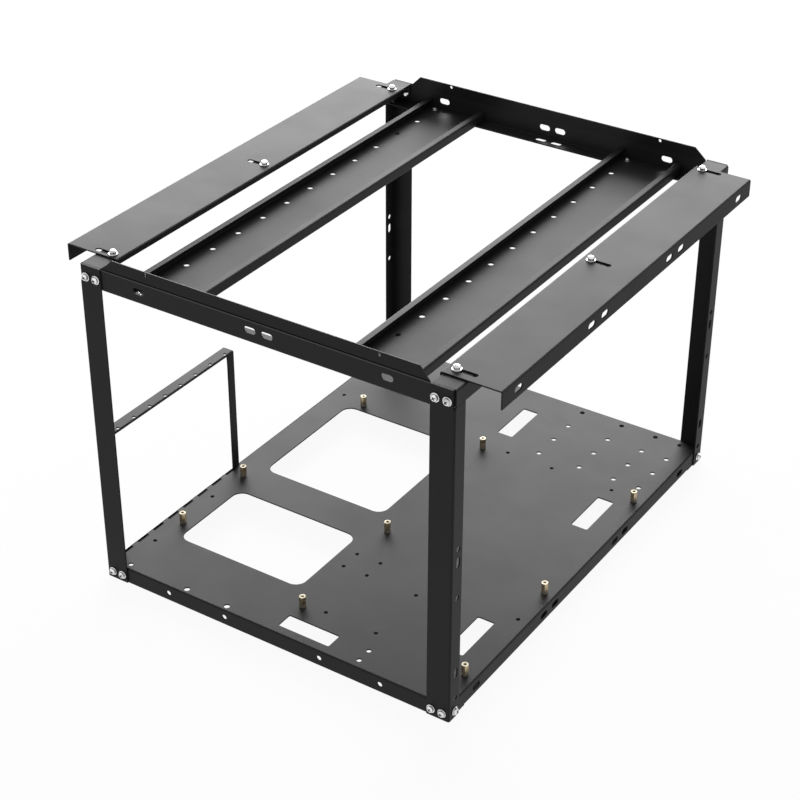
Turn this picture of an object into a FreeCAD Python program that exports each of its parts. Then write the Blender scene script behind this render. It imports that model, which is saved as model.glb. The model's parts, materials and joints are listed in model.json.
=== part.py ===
"""Open sheet metal chassis that carries a wide circuit board and its plug-in cards.

All sizes are in millimetres. X runs across the chassis from left to right, Y from
front to back and Z upwards from the surface that the chassis stands on. The origin
lies on that surface, in the middle of the frame.
"""

import FreeCAD, Part

import math
import os

Vector = FreeCAD.Vector

# Frame
FRAME_WIDTH = 339.0
FRAME_DEPTH = 436.0
FRAME_HEIGHT = 296.9
SHEET = 1.2
BEND_INSIDE = 0.4
CORNER_CLEARANCE = 1.8

# Corner posts
POST_FACE_WIDTH = 20.8
POST_SIDE_WIDTH = 14.0
POST_HOLE_OFFSET = 8.5
POST_HOLE_BORE = 4.5
POST_ROUND_HOLE_HEIGHTS = (18.9, 114.4, 158.9)
POST_OVAL_HOLE_HEIGHTS = (43.2, 146.9)
POST_OVAL_LENGTH = 9.0

# Rails along the sides and across the ends
SIDE_RAIL_HEIGHT = 14.0
SIDE_RAIL_FLANGE = 20.2
END_RAIL_FLOOR_DROP = 18.8
END_RAIL_FLANGE = 14.5
END_RAIL_CREASE_DROP = 0.2
END_RAIL_RISE = 9.7
END_RAIL_LEAN = 7.6
END_RAIL_LIP_START = 21.6
END_RAIL_LIP_CHAMFER = 9.7
RELIEF_BORE = 1.6
WINDOW_LENGTH = 10.4
WINDOW_WIDTH = 5.2
END_WINDOW_DROP = 8.6
END_WINDOW_INSET = 57.1
END_WINDOW_INNER = 7.7
LIP_HOLE_INSET = 64.4
LIP_HOLE_BORE = 2.8
LIP_HOLE_EDGE = 2.3

# Sliding plates on the side rails
PLATE_END_GAP = 17.2
PLATE_OVERHANG = 28.0
PLATE_LIP_GAP = 0.7
PLATE_FLANGE = 15.0
PLATE_LIP = 5.0
PLATE_SHIFT = 1.6
PLATE_SCREW_END = 24.0
PLATE_SLOT_WIDTH = 4.4
PLATE_SLOT_OUTSIDE = 3.2
PLATE_SCREW_INSIDE = 14.0
PLATE_WINDOW_DROP = 8.2
PLATE_WINDOW_PAIR = (52.7, 72.8)
PLATE_WINDOW_END = 22.3

# Card rails between the end rails
CARD_RAIL_WIDTH = 61.8
CARD_RAIL_HEIGHT = 9.0
CARD_RAIL_LIP = 6.0
CARD_RAIL_INSETS = (38.4, 41.6)
CARD_RAIL_END_GAP = 0.1
CARD_HOLE_LINE = 11.8
CARD_HOLE_BORE = 4.8
CARD_HOLE_FIRST = 34.05
CARD_HOLE_LAST = 37.3
CARD_HOLE_COUNT = 12

# Tray
TRAY_HEIGHT = 14.4
TRAY_RELIEF = 3.0
TRAY_RETURN = 12.0
TRAY_RETURN_END = 24.0
CUTOUT_RADIUS = 10.0
FRONT_CUTOUT = (28.8, 59.7, 126.6, 85.0)
BACK_CUTOUT = (28.7, 183.9, 125.8, 129.7)
CABLE_SLOT_LENGTH = 49.0
CABLE_SLOT_WIDTH = 15.4
CABLE_SLOT_RADIUS = 1.5
CABLE_SLOTS_ALONG = ((306.8, 286.4), (306.6, 83.6), (178.4, 377.4))
CABLE_SLOTS_ACROSS = ((195.2, 18.0),)
GRID_COLUMNS = (220.4, 262.1, 297.1, 322.1)
GRID_ROWS = (343.4, 370.8, 398.0, 425.6)
GRID_BORE = 4.4
FRONT_PAIR = ((79.9, 6.9), (121.2, 6.9))
FRONT_PAIR_BORE = 5.0
PLAIN_HOLE_BORE = 4.0
COLLAR_BORE = 3.3
LEFT_COLUMN = ((14.8, 44.9), (14.8, 123.8), (14.8, 327.9))
MIDDLE_COLUMN = ((193.2, 44.5), (193.2, 103.6), (193.2, 123.8), (196.4, 328.0))
RIGHT_COLUMN = ((242.0, 44.5), (242.0, 103.6), (242.4, 327.9), (304.0, 326.8))
STRAY_HOLES = ((169.6, 103.6), (169.6, 123.8), (327.7, 122.5))
PLAIN_HOLES = ((19.5, 7.5), (249.5, 9.8), (249.5, 23.4))
COLLAR_WALL = 0.8
COLLAR_DEPTH = 1.6
FLANGE_HOLE_HEIGHT = 7.1
FRONT_FLANGE_HOLES = (64.5, 122.4, 216.6, 274.5)
FRONT_FLANGE_BORE = 4.4
SIDE_WINDOW_PAIR = (52.0, 70.5)
SIDE_WINDOW_END = 41.7

# Board standoffs
STANDOFF_INSETS = (17.7, 11.4)
STANDOFF_ROWS = (165.5, 323.0)
STANDOFF_FRONT_ROW = 79.4
STANDOFF_FRONT_OFFSET = 41.0
STANDOFF_BACK_SHIFT = 22.9
STANDOFF_HEIGHT = 10.0
STANDOFF_ACROSS = 5.5
STANDOFF_BORE = 2.5
STANDOFF_BORE_DEPTH = 8.0
STUD_DIAMETER = 3.0
STUD_LENGTH = 5.0

# Slot bracket on the left edge of the tray
SLOT_COUNT = 8
SLOT_PITCH = 20.32
SLOT_LAST = 168.2
BRACKET_TOP = 133.6
BRACKET_FLANGE = 10.9
BRACKET_STRIP = 1.7
BRACKET_LEG = 8.7
BRACKET_NEAR_MARGIN = 15.1
BRACKET_FAR_MARGIN = 9.3
BRACKET_POST_GAP = 0.4
BRACKET_FOOT = 3.3
BRACKET_HOLE_BORE = 3.0
BRACKET_HOLE_BACK = 2.7
TAIL_SLOT_LENGTH = 13.0
TAIL_SLOT_WIDTH = 2.7
TAIL_SLOT_SHIFT = 4.0
TAIL_SLOT_INSET = 1.4
NOTCH_GAP = 0.3

# Fasteners
SCREW_DIAMETER = 4.0
CLEARANCE_BORE = 4.5
THREAD_GAP = 0.05
HEAD_DIAMETER = 7.4
HEAD_HEIGHT = 2.9
DRIVE_WIDTH = 1.3
DRIVE_LENGTH = 4.4
DRIVE_DEPTH = 1.3
NUT_ACROSS = 7.0
NUT_HEIGHT = 3.2
WASHER_DIAMETER = 8.2
WASHER_THICKNESS = 0.8
THREAD_BEYOND = 1.2
CORNER_THREAD_BEYOND = 2.0
CARD_SCREW_DIAMETER = 3.0
CARD_SCREW_CLEARANCE = 3.4
CARD_HEAD_DIAMETER = 5.2
CARD_HEAD_HEIGHT = 2.4
SHORT_SCREW_LENGTH = 3.6
CORNER_SCREW_INSETS = (6.3, 16.3)
CORNER_SCREW_DROP = 9.8
SIDE_SCREW_INSET = 7.4
RAIL_SCREW_INSET = 8.2

END_RAIL_FLOOR = FRAME_HEIGHT - END_RAIL_FLOOR_DROP
END_RAIL_CREASE = FRAME_HEIGHT - END_RAIL_CREASE_DROP
END_RAIL_TOP = FRAME_HEIGHT + END_RAIL_RISE
END_WINDOW_HEIGHT = FRAME_HEIGHT - END_WINDOW_DROP
END_WINDOW_OUTER = FRAME_WIDTH / 2 - END_WINDOW_INSET
LIP_HOLE_OFFSET = FRAME_WIDTH / 2 - LIP_HOLE_INSET
PLATE_TOP = FRAME_HEIGHT + SHEET
PLATE_LENGTH = FRAME_DEPTH - 2 * PLATE_END_GAP
PLATE_SLOT_PITCH = FRAME_DEPTH / 2 - PLATE_SCREW_END
PLATE_WINDOW_OFFSETS = PLATE_WINDOW_PAIR + (PLATE_LENGTH / 2 - PLATE_WINDOW_END,)
SIDE_WINDOW_OFFSETS = SIDE_WINDOW_PAIR + (FRAME_DEPTH / 2 - SIDE_WINDOW_END,)
CARD_RAIL_LEFTS = (CARD_RAIL_INSETS[0], FRAME_WIDTH - CARD_RAIL_INSETS[1] - CARD_RAIL_WIDTH)
CARD_HOLE_PITCH = (FRAME_DEPTH - CARD_HOLE_FIRST - CARD_HOLE_LAST) / (CARD_HOLE_COUNT - 1)
STANDOFF_MIDDLE = (STANDOFF_INSETS[0] + FRAME_WIDTH - STANDOFF_INSETS[1]) / 2
STANDOFF_COLUMNS = (STANDOFF_INSETS[0], STANDOFF_MIDDLE, FRAME_WIDTH - STANDOFF_INSETS[1])
PLATE_INSIDE = SIDE_RAIL_FLANGE + PLATE_LIP_GAP + BEND_INSIDE + SHEET
BEND_OUTSIDE = BEND_INSIDE + SHEET
CARD_FLOOR = END_RAIL_FLOOR + SHEET
POST_SIDE_TOP = FRAME_HEIGHT - SIDE_RAIL_HEIGHT
LAYER = {"post": 0.0, "end_rail": SHEET, "side_rail_tab": 2 * SHEET}
AXIS = {"x": Vector(1, 0, 0), "y": Vector(0, 1, 0), "z": Vector(0, 0, 1)}


def across(distance):
    """X of a point at this distance from the frame's left face."""
    return distance - FRAME_WIDTH / 2


def along(distance):
    """Y of a point at this distance from the frame's front face."""
    return distance - FRAME_DEPTH / 2


# Sheet metal
def profile_point(axis, first, second):
    """Place a profile's two coordinates on the plane square to the axis."""
    if axis == "x":
        return Vector(0, first, second)
    if axis == "y":
        return Vector(first, 0, second)
    return Vector(first, second, 0)


def inner_path(path, thickness):
    """Offset an open path to its left by the thickness, with mitred corners."""
    normals = []
    for (x1, y1), (x2, y2) in zip(path, path[1:]):
        length = math.hypot(x2 - x1, y2 - y1)
        normals.append(((y1 - y2) / length, (x2 - x1) / length))
    joined = [normals[0]] + normals + [normals[-1]]
    moved = []
    for index, (x, y) in enumerate(path):
        before, after = joined[index], joined[index + 1]
        scale = thickness / (1 + before[0] * after[0] + before[1] * after[1])
        moved.append((x + (before[0] + after[0]) * scale, y + (before[1] + after[1]) * scale))
    return moved


def edges_through(solid, axis, points):
    """Return the edges that run along the axis through the given profile points."""
    found = []
    for edge in solid.Edges:
        if not isinstance(edge.Curve, Part.Line):
            continue
        if abs(abs(edge.tangentAt(edge.FirstParameter).dot(AXIS[axis])) - 1) > 1e-6:
            continue
        start = edge.Vertexes[0].Point
        for first, second in points:
            offset = start - profile_point(axis, first, second)
            if (offset - AXIS[axis] * offset.dot(AXIS[axis])).Length < 1e-4:
                found.append(edge)
                break
    return found


def folded_sheet(axis, path, start, end, sharp=()):
    """Fold a sheet whose outer face follows the path, and run it along the axis.

    The sheet lies to the left of the path. Corners in sharp keep no bend radius.
    """
    inside = inner_path(path, SHEET)
    outline = [profile_point(axis, *point) for point in path + inside[::-1]]
    face = Part.Face(Part.makePolygon(outline + outline[:1]))
    solid = face.extrude(AXIS[axis] * (end - start))
    solid.translate(AXIS[axis] * start)
    bends = [index for index in range(1, len(path) - 1) if index not in sharp]
    if not bends:
        return solid
    outer = edges_through(solid, axis, [path[index] for index in bends])
    solid = solid.makeFillet(BEND_OUTSIDE, outer)
    inner = edges_through(solid, axis, [inside[index] for index in bends])
    return solid.makeFillet(BEND_INSIDE, inner)


def block(x_range, y_range, z_range):
    """Make a box from its three ranges."""
    sizes = [high - low for low, high in (x_range, y_range, z_range)]
    return Part.makeBox(*sizes, Vector(x_range[0], y_range[0], z_range[0]))


def drill(centre, axis, bore, depth=4 * SHEET):
    """Make a round cutter that runs to both sides of the centre."""
    base = Vector(*centre) - AXIS[axis] * depth / 2
    return Part.makeCylinder(bore / 2, depth, base, AXIS[axis])


def oval_cutter(centre, through, run, length, width, depth=4 * SHEET):
    """Make a cutter with round ends that runs through one axis and along another."""
    reach = AXIS[run] * (length - width) / 2
    side = AXIS[through].cross(AXIS[run]) * width / 2
    middle = Vector(*centre) - AXIS[through] * depth / 2
    corners = [middle - reach - side, middle + reach - side, middle + reach + side, middle - reach + side]
    sides = Part.Face(Part.makePolygon(corners + corners[:1])).extrude(AXIS[through] * depth)
    ends = [Part.makeCylinder(width / 2, depth, middle + end, AXIS[through]) for end in (reach, -reach)]
    return sides.fuse(ends)


def round_window(x_start, y_start, width, depth, radius, z_middle):
    """Make a cutter for a rectangular opening with rounded corners."""
    x_range = (across(x_start), across(x_start + width))
    y_range = (along(y_start), along(y_start + depth))
    window = block(x_range, y_range, (z_middle - 2 * SHEET, z_middle + 2 * SHEET))
    corners = [(x, y) for x in x_range for y in y_range]
    return window.makeFillet(radius, edges_through(window, "z", corners))


def half_turn(shape):
    """Copy a shape, turned half a turn about the vertical centre line."""
    turned = shape.copy()
    turned.rotate(Vector(0, 0, 0), AXIS["z"], 180)
    return turned


def mirrored(shape, axis):
    """Copy a shape, mirrored across the middle of the frame."""
    return shape.mirror(Vector(0, 0, 0), AXIS[axis])


# Corner posts
def post_front_left():
    """Angle section whose front leg reaches the top and whose side leg stops below the rail."""
    path = [(across(0), along(POST_SIDE_WIDTH)), (across(0), along(0)), (across(POST_FACE_WIDTH), along(0))]
    angle = folded_sheet("z", path, 0, POST_SIDE_TOP)
    front = (along(0), along(SHEET))
    face = (across(CORNER_CLEARANCE), across(POST_FACE_WIDTH))
    top_leg = block(face, front, (POST_SIDE_TOP, FRAME_HEIGHT))
    corner = block((across(0), across(CORNER_CLEARANCE)), front, (POST_SIDE_TOP - SHEET, POST_SIDE_TOP))
    post = angle.cut(corner).fuse(top_leg).removeSplitter()
    return post.cut(post_holes())


def post_holes():
    """Holes of the front left post: screw holes on the front, mounting holes on the side."""
    cutters = []
    for inset in CORNER_SCREW_INSETS:
        for height in (FLANGE_HOLE_HEIGHT, FRAME_HEIGHT - CORNER_SCREW_DROP):
            cutters.append(drill((across(inset), along(0), height), "y", CLEARANCE_BORE))
    cutters.append(drill((across(0), along(SIDE_SCREW_INSET), FLANGE_HOLE_HEIGHT), "x", CLEARANCE_BORE))
    for height in POST_ROUND_HOLE_HEIGHTS:
        cutters.append(drill((across(0), along(POST_HOLE_OFFSET), height), "x", POST_HOLE_BORE))
    for height in POST_OVAL_HOLE_HEIGHTS:
        centre = (across(0), along(POST_HOLE_OFFSET), height)
        cutters.append(oval_cutter(centre, "x", "z", POST_OVAL_LENGTH, POST_HOLE_BORE))
    return cutters


# Side rails
def side_rail_left():
    """Angle rail with a top flange and a tab folded down from each end of the flange."""
    web_range = (along(CORNER_CLEARANCE), along(FRAME_DEPTH - CORNER_CLEARANCE))
    path = [(across(SIDE_RAIL_FLANGE), FRAME_HEIGHT), (across(0), FRAME_HEIGHT), (across(0), POST_SIDE_TOP)]
    rail = folded_sheet("y", path, *web_range)
    tab_face = LAYER["side_rail_tab"]
    flange_side = (across(BEND_OUTSIDE), across(SIDE_RAIL_FLANGE + 1))
    above = (FRAME_HEIGHT - 2 * SHEET, FRAME_HEIGHT + 1)
    front_trim = block(flange_side, (along(0), along(tab_face)), above)
    rail = rail.cut([front_trim, mirrored(front_trim, "y")])
    rail = rail.cut(corner_trims(tab_face))
    tab = side_rail_tab(tab_face)
    rail = rail.fuse([tab, mirrored(tab, "y")]).removeSplitter()
    return rail.cut(side_rail_holes())


def corner_trims(tab_face):
    """Clear the rail's bend above the end rail, at the front and at the back."""
    bend = (across(SHEET), across(BEND_OUTSIDE))
    trim = block(bend, (along(0), along(tab_face)), (POST_SIDE_TOP - 1, FRAME_HEIGHT + 1))
    return [trim, mirrored(trim, "y")]


def side_rail_tab(tab_face):
    """Tab at the front end, bent down from the top flange."""
    reach = tab_face + BEND_OUTSIDE + SHEET
    path = [(along(reach), FRAME_HEIGHT), (along(tab_face), FRAME_HEIGHT), (along(tab_face), POST_SIDE_TOP)]
    return folded_sheet("x", path, across(BEND_OUTSIDE), across(SIDE_RAIL_FLANGE))


def side_rail_holes():
    """Plate screw holes in the flange and corner screw holes in the two tabs."""
    cutters = []
    for y in plate_screw_stations():
        cutters.append(drill((across(PLATE_SCREW_INSIDE), y, FRAME_HEIGHT), "z", CLEARANCE_BORE))
    for inset in CORNER_SCREW_INSETS:
        centre = (across(inset), along(LAYER["side_rail_tab"]), FRAME_HEIGHT - CORNER_SCREW_DROP)
        hole = drill(centre, "y", SCREW_DIAMETER + 2 * THREAD_GAP)
        cutters += [hole, mirrored(hole, "y")]
    return cutters


def plate_screw_stations():
    """Y of the screws that clamp a plate to its side rail."""
    return [index * PLATE_SLOT_PITCH for index in (-1, 0, 1)]


# End rails
def end_rail_front():
    """Cross rail with a floor flange and a leaning lip that stops short of both posts."""
    face = along(LAYER["end_rail"])
    ends = (across(SHEET + BEND_OUTSIDE / 2), across(FRAME_WIDTH - SHEET - BEND_OUTSIDE / 2))
    lower = [(face, END_RAIL_CREASE), (face, END_RAIL_FLOOR), (face + END_RAIL_FLANGE, END_RAIL_FLOOR)]
    channel = folded_sheet("x", lower, *ends)
    shoulders = [shoulder(end, face) for end in ("left", "right")]
    rail = channel.fuse(shoulders + [leaning_lip(face)]).removeSplitter()
    return rail.cut(end_rail_holes(face))


def shoulder(end, face):
    """Flat end of the web beside the lip, level with the top of the frame."""
    inner = across(END_RAIL_LIP_START - RELIEF_BORE / 2)
    x_range = (across(SHEET + BEND_OUTSIDE / 2), inner)
    if end == "right":
        x_range = (-x_range[1], -x_range[0])
    return block(x_range, (face, face + SHEET), (END_RAIL_CREASE - SHEET, FRAME_HEIGHT))


def leaning_lip(face):
    """Upper lip that leans inwards, with both ends chamfered."""
    lean = (END_RAIL_TOP - END_RAIL_CREASE) * math.tan(math.radians(END_RAIL_LEAN))
    path = [(face + lean, END_RAIL_TOP), (face, END_RAIL_CREASE), (face, END_RAIL_CREASE - SHEET)]
    start, top = END_RAIL_LIP_START, END_RAIL_TOP
    strip = folded_sheet("x", path, across(start), across(FRAME_WIDTH - start), sharp=(1,))
    cut = END_RAIL_LIP_CHAMFER
    left = [(start, top - cut), (start + cut + 1, top + 1), (start, top + 1)]
    corners = [Vector(across(x), face - 1, z) for x, z in left]
    chamfer = Part.Face(Part.makePolygon(corners + corners[:1])).extrude(AXIS["y"] * (lean + 2 * SHEET + 2))
    return strip.cut([chamfer, mirrored(chamfer, "x")])


def end_rail_holes(face):
    """Windows in the web and floor, screw holes, lip holes and bend reliefs."""
    floor_line = along(RAIL_SCREW_INSET)
    relief = (across(END_RAIL_LIP_START - RELIEF_BORE / 2), face, END_RAIL_CREASE)
    lip_hole = (-LIP_HOLE_OFFSET, face, END_RAIL_TOP - LIP_HOLE_EDGE)
    half = [
        oval_cutter((-END_WINDOW_OUTER, face, END_WINDOW_HEIGHT), "y", "x", WINDOW_LENGTH, WINDOW_WIDTH),
        oval_cutter((-END_WINDOW_INNER, face, END_WINDOW_HEIGHT), "y", "x", WINDOW_LENGTH, WINDOW_WIDTH),
        oval_cutter((-END_WINDOW_INNER, floor_line, END_RAIL_FLOOR), "z", "x", WINDOW_LENGTH, WINDOW_WIDTH),
        drill(relief, "y", RELIEF_BORE),
        drill(lip_hole, "y", LIP_HOLE_BORE, 8 * SHEET),
    ]
    for inset in CORNER_SCREW_INSETS:
        half.append(drill((across(inset), face, FRAME_HEIGHT - CORNER_SCREW_DROP), "y", CLEARANCE_BORE))
    for x in card_screw_lines():
        half.append(drill((x, floor_line, END_RAIL_FLOOR), "z", CARD_SCREW_DIAMETER + 2 * THREAD_GAP))
    return half + [mirrored(cutter, "x") for cutter in half]


# Sliding plates
def top_plate_right():
    """Plate with a deep outer flange, a shallow inner lip and three clamping slots."""
    outer, inner = FRAME_WIDTH + PLATE_OVERHANG, FRAME_WIDTH - PLATE_INSIDE
    middle = -PLATE_SHIFT
    path = [
        (across(outer), PLATE_TOP - PLATE_FLANGE),
        (across(outer), PLATE_TOP),
        (across(inner), PLATE_TOP),
        (across(inner), PLATE_TOP - PLATE_LIP),
    ]
    plate = folded_sheet("y", path, middle - PLATE_LENGTH / 2, middle + PLATE_LENGTH / 2)
    return plate.cut(plate_slots() + plate_windows(across(outer), middle))


def plate_slots():
    """Clamping slots that run across the plate at each screw."""
    start = FRAME_WIDTH - PLATE_SCREW_INSIDE - PLATE_SLOT_WIDTH / 2
    end = FRAME_WIDTH + PLATE_SLOT_OUTSIDE
    centre_x = across((start + end) / 2)
    return [
        oval_cutter((centre_x, y, PLATE_TOP), "z", "x", end - start, PLATE_SLOT_WIDTH)
        for y in plate_screw_stations()
    ]


def plate_windows(face, middle):
    """Oval windows in the outer flange."""
    height = PLATE_TOP - PLATE_WINDOW_DROP
    return [
        oval_cutter((face, middle + side * offset, height), "x", "y", WINDOW_LENGTH, WINDOW_WIDTH)
        for offset in PLATE_WINDOW_OFFSETS
        for side in (-1, 1)
    ]


# Card rails
def card_screw_lines():
    """X of the hole line of each card rail."""
    return [across(left + CARD_HOLE_LINE) for left in CARD_RAIL_LEFTS]


def card_rail(left):
    """Lipped channel that rests on the floors of both end rails."""
    right, top = left + CARD_RAIL_WIDTH, CARD_FLOOR + CARD_RAIL_HEIGHT
    path = [
        (across(left + CARD_RAIL_LIP), top),
        (across(left), top),
        (across(left), CARD_FLOOR),
        (across(right), CARD_FLOOR),
        (across(right), top),
        (across(right - CARD_RAIL_LIP), top),
    ]
    inset = LAYER["end_rail"] + BEND_OUTSIDE + CARD_RAIL_END_GAP
    rail = folded_sheet("y", path, along(inset), along(FRAME_DEPTH - inset))
    return rail.cut(card_rail_holes(across(left + CARD_HOLE_LINE)))


def card_rail_holes(x):
    """Row of card holes, with one screw hole at each end."""
    stations = [along(CARD_HOLE_FIRST + index * CARD_HOLE_PITCH) for index in range(CARD_HOLE_COUNT)]
    cutters = [drill((x, y, CARD_FLOOR), "z", CARD_HOLE_BORE) for y in stations]
    for y in (along(RAIL_SCREW_INSET), -along(RAIL_SCREW_INSET)):
        cutters.append(drill((x, y, CARD_FLOOR), "z", CARD_SCREW_CLEARANCE))
    return cutters


# Tray
def base_tray():
    """Shallow tray with four flanges folded down and relieved at the corners."""
    tray = tray_shell().cut(tray_reliefs()).fuse(tray_collars() + tray_returns()).removeSplitter()
    return tray.cut(tray_openings()).cut(tray_holes()).cut(flange_holes())


def tray_shell():
    """Pan of one sheet, open underneath, that fits between the posts."""
    inset = SHEET
    outer = block((across(inset), -across(inset)), (along(inset), -along(inset)), (0, TRAY_HEIGHT))
    outer = outer.makeFillet(BEND_OUTSIDE, top_edges(outer, TRAY_HEIGHT))
    inset += SHEET
    inner = block((across(inset), -across(inset)), (along(inset), -along(inset)), (-1, TRAY_HEIGHT - SHEET))
    inner = inner.makeFillet(BEND_INSIDE, top_edges(inner, TRAY_HEIGHT - SHEET))
    fold = block(
        (across(SHEET), across(2 * SHEET)),
        (along(TRAY_RETURN_END), -along(TRAY_RETURN_END)),
        (0, BEND_OUTSIDE),
    )
    return outer.cut([inner, fold, mirrored(fold, "x")])


def tray_returns():
    """Lower edges of both side flanges, folded inwards between the corner screws."""
    face = across(SHEET)
    path = [(face, BEND_OUTSIDE + SHEET), (face, 0), (face + TRAY_RETURN, 0)]
    strip = folded_sheet("y", path, along(TRAY_RETURN_END), -along(TRAY_RETURN_END))
    return [strip, mirrored(strip, "x")]


def top_edges(solid, height):
    """Return the straight edges that lie at the given height."""
    return [edge for edge in solid.Edges if all(abs(end.Z - height) < 1e-6 for end in edge.Vertexes)]


def tray_reliefs():
    """Square notches where two flanges meet."""
    reach = SHEET + TRAY_RELIEF
    notch = block((across(0), across(reach)), (along(0), along(reach)), (-1, TRAY_HEIGHT + 1))
    front = [notch, mirrored(notch, "x")]
    return front + [mirrored(shape, "y") for shape in front]


def tray_openings():
    """Large cut-outs, cable slots, the tail slots and the notches of the slot bracket."""
    top = TRAY_HEIGHT - SHEET / 2
    cutters = [round_window(*opening, CUTOUT_RADIUS, top) for opening in (FRONT_CUTOUT, BACK_CUTOUT)]
    for x, y in CABLE_SLOTS_ALONG:
        corner = (x - CABLE_SLOT_WIDTH / 2, y - CABLE_SLOT_LENGTH / 2)
        cutters.append(round_window(*corner, CABLE_SLOT_WIDTH, CABLE_SLOT_LENGTH, CABLE_SLOT_RADIUS, top))
    for x, y in CABLE_SLOTS_ACROSS:
        corner = (x - CABLE_SLOT_LENGTH / 2, y - CABLE_SLOT_WIDTH / 2)
        cutters.append(round_window(*corner, CABLE_SLOT_LENGTH, CABLE_SLOT_WIDTH, CABLE_SLOT_RADIUS, top))
    return cutters + tail_slots() + bracket_notches()


def tail_slots():
    """Slots beside the left flange that take the tails of the card brackets."""
    x_range = (across(TAIL_SLOT_INSET), across(TAIL_SLOT_INSET + TAIL_SLOT_WIDTH))
    z_range = (TRAY_HEIGHT - 2 * SHEET, TRAY_HEIGHT + SHEET)
    middles = [y - TAIL_SLOT_SHIFT for y in slot_stations()]
    half = TAIL_SLOT_LENGTH / 2
    return [block(x_range, (middle - half, middle + half), z_range) for middle in middles]


def bracket_notches():
    """Notches that let the legs of the slot bracket pass inside the left flange."""
    x_range = (across(2 * SHEET), across(3 * SHEET + NOTCH_GAP))
    z_range = (TRAY_HEIGHT - BEND_OUTSIDE - 1, TRAY_HEIGHT + 1)
    return [block(x_range, (start - NOTCH_GAP, end + NOTCH_GAP), z_range) for start, end in bracket_legs()]


def tray_holes():
    """Round holes through the top of the tray."""
    top = TRAY_HEIGHT - SHEET / 2
    groups = [
        ([(x, y) for x in GRID_COLUMNS for y in GRID_ROWS], GRID_BORE),
        (FRONT_PAIR, FRONT_PAIR_BORE),
        (PLAIN_HOLES, PLAIN_HOLE_BORE),
    ]
    cutters = [
        drill((across(x), along(y), top), "z", bore)
        for places, bore in groups
        for x, y in places
    ]
    for x, y in spare_places():
        cutters.append(drill((x, y, top), "z", COLLAR_BORE, 6 * SHEET))
    for x, y in standoff_places():
        cutters.append(drill((x, y, top), "z", STUD_DIAMETER + 2 * THREAD_GAP, 6 * SHEET))
    return cutters


def spare_places():
    """Centres of the drawn holes for standoffs of other boards."""
    return [(across(x), along(y)) for x, y in LEFT_COLUMN + MIDDLE_COLUMN + RIGHT_COLUMN + STRAY_HOLES]


def tray_collars():
    """Collars drawn downwards around the holes that take a standoff's thread."""
    base = TRAY_HEIGHT - SHEET - COLLAR_DEPTH
    radius = COLLAR_BORE / 2 + COLLAR_WALL
    height = COLLAR_DEPTH + SHEET / 2
    places = spare_places() + standoff_places()
    return [Part.makeCylinder(radius, height, Vector(x, y, base)) for x, y in places]


def flange_holes():
    """Holes through the four flanges of the tray."""
    thread = SCREW_DIAMETER + 2 * THREAD_GAP
    cutters = []
    for inset in CORNER_SCREW_INSETS:
        hole = drill((across(inset), along(SHEET), FLANGE_HOLE_HEIGHT), "y", thread)
        cutters += four_corners(hole)
    side = (across(SHEET), along(SIDE_SCREW_INSET), FLANGE_HOLE_HEIGHT)
    cutters += four_corners(drill(side, "x", thread))
    for x in FRONT_FLANGE_HOLES:
        cutters.append(drill((across(x), along(SHEET), FLANGE_HOLE_HEIGHT), "y", FRONT_FLANGE_BORE))
    for offset in SIDE_WINDOW_OFFSETS:
        for y in (-offset, offset):
            centre = (-across(SHEET), y, FLANGE_HOLE_HEIGHT)
            window = oval_cutter(centre, "x", "y", WINDOW_LENGTH, WINDOW_WIDTH)
            cutters.append(window)
            if offset != SIDE_WINDOW_OFFSETS[0]:
                cutters.append(mirrored(window, "x"))
    foot = (across(SHEET), bracket_screw_station(), FLANGE_HOLE_HEIGHT)
    cutters.append(drill(foot, "x", CLEARANCE_BORE))
    return cutters


def four_corners(shape):
    """Repeat a shape of the front left corner at all four corners."""
    front = [shape, mirrored(shape, "x")]
    return front + [mirrored(item, "y") for item in front]


# Slot bracket
def slot_stations():
    """Y of the card screw of each slot."""
    return [along(SLOT_LAST - index * SLOT_PITCH) for index in range(SLOT_COUNT)]


def bracket_ends():
    """Y of the two outer ends of the bracket."""
    stations = slot_stations()
    return stations[-1] - BRACKET_NEAR_MARGIN, stations[0] + BRACKET_FAR_MARGIN


def bracket_legs():
    """Y range of each leg of the bracket."""
    near, far = bracket_ends()
    return [(near, near + BRACKET_LEG), (far - BRACKET_LEG, far)]


def bracket_screw_station():
    """Y of the screw in the far foot of the bracket. The near foot only stands in its notch."""
    return sum(bracket_legs()[1]) / 2


def slot_bracket():
    """Portal of one sheet: two legs inside the tray's flange and a flange folded outwards."""
    inner = across(3 * SHEET)
    near, far = bracket_ends()
    path = [(inner, BRACKET_FOOT), (inner, BRACKET_TOP), (inner - BRACKET_FLANGE, BRACKET_TOP)]
    portal = folded_sheet("y", path, near, far)
    legs = bracket_legs()
    gap = block(
        (inner - SHEET - 1, inner + 1),
        (legs[0][1], legs[1][0]),
        (BRACKET_FOOT - 1, BRACKET_TOP - BRACKET_STRIP),
    )
    beside_post = block(
        (inner - BRACKET_FLANGE - 1, across(SHEET) + BRACKET_POST_GAP),
        (near - 1, along(POST_SIDE_WIDTH) + BRACKET_POST_GAP),
        (BRACKET_TOP - 2 * SHEET, BRACKET_TOP + 1),
    )
    cutters = [gap, beside_post]
    for y in slot_stations():
        cutters.append(drill((inner - BRACKET_HOLE_BACK, y, BRACKET_TOP), "z", BRACKET_HOLE_BORE))
    foot = (inner, bracket_screw_station(), FLANGE_HOLE_HEIGHT)
    cutters.append(drill(foot, "x", SCREW_DIAMETER + 2 * THREAD_GAP))
    return portal.cut(cutters)


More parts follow.
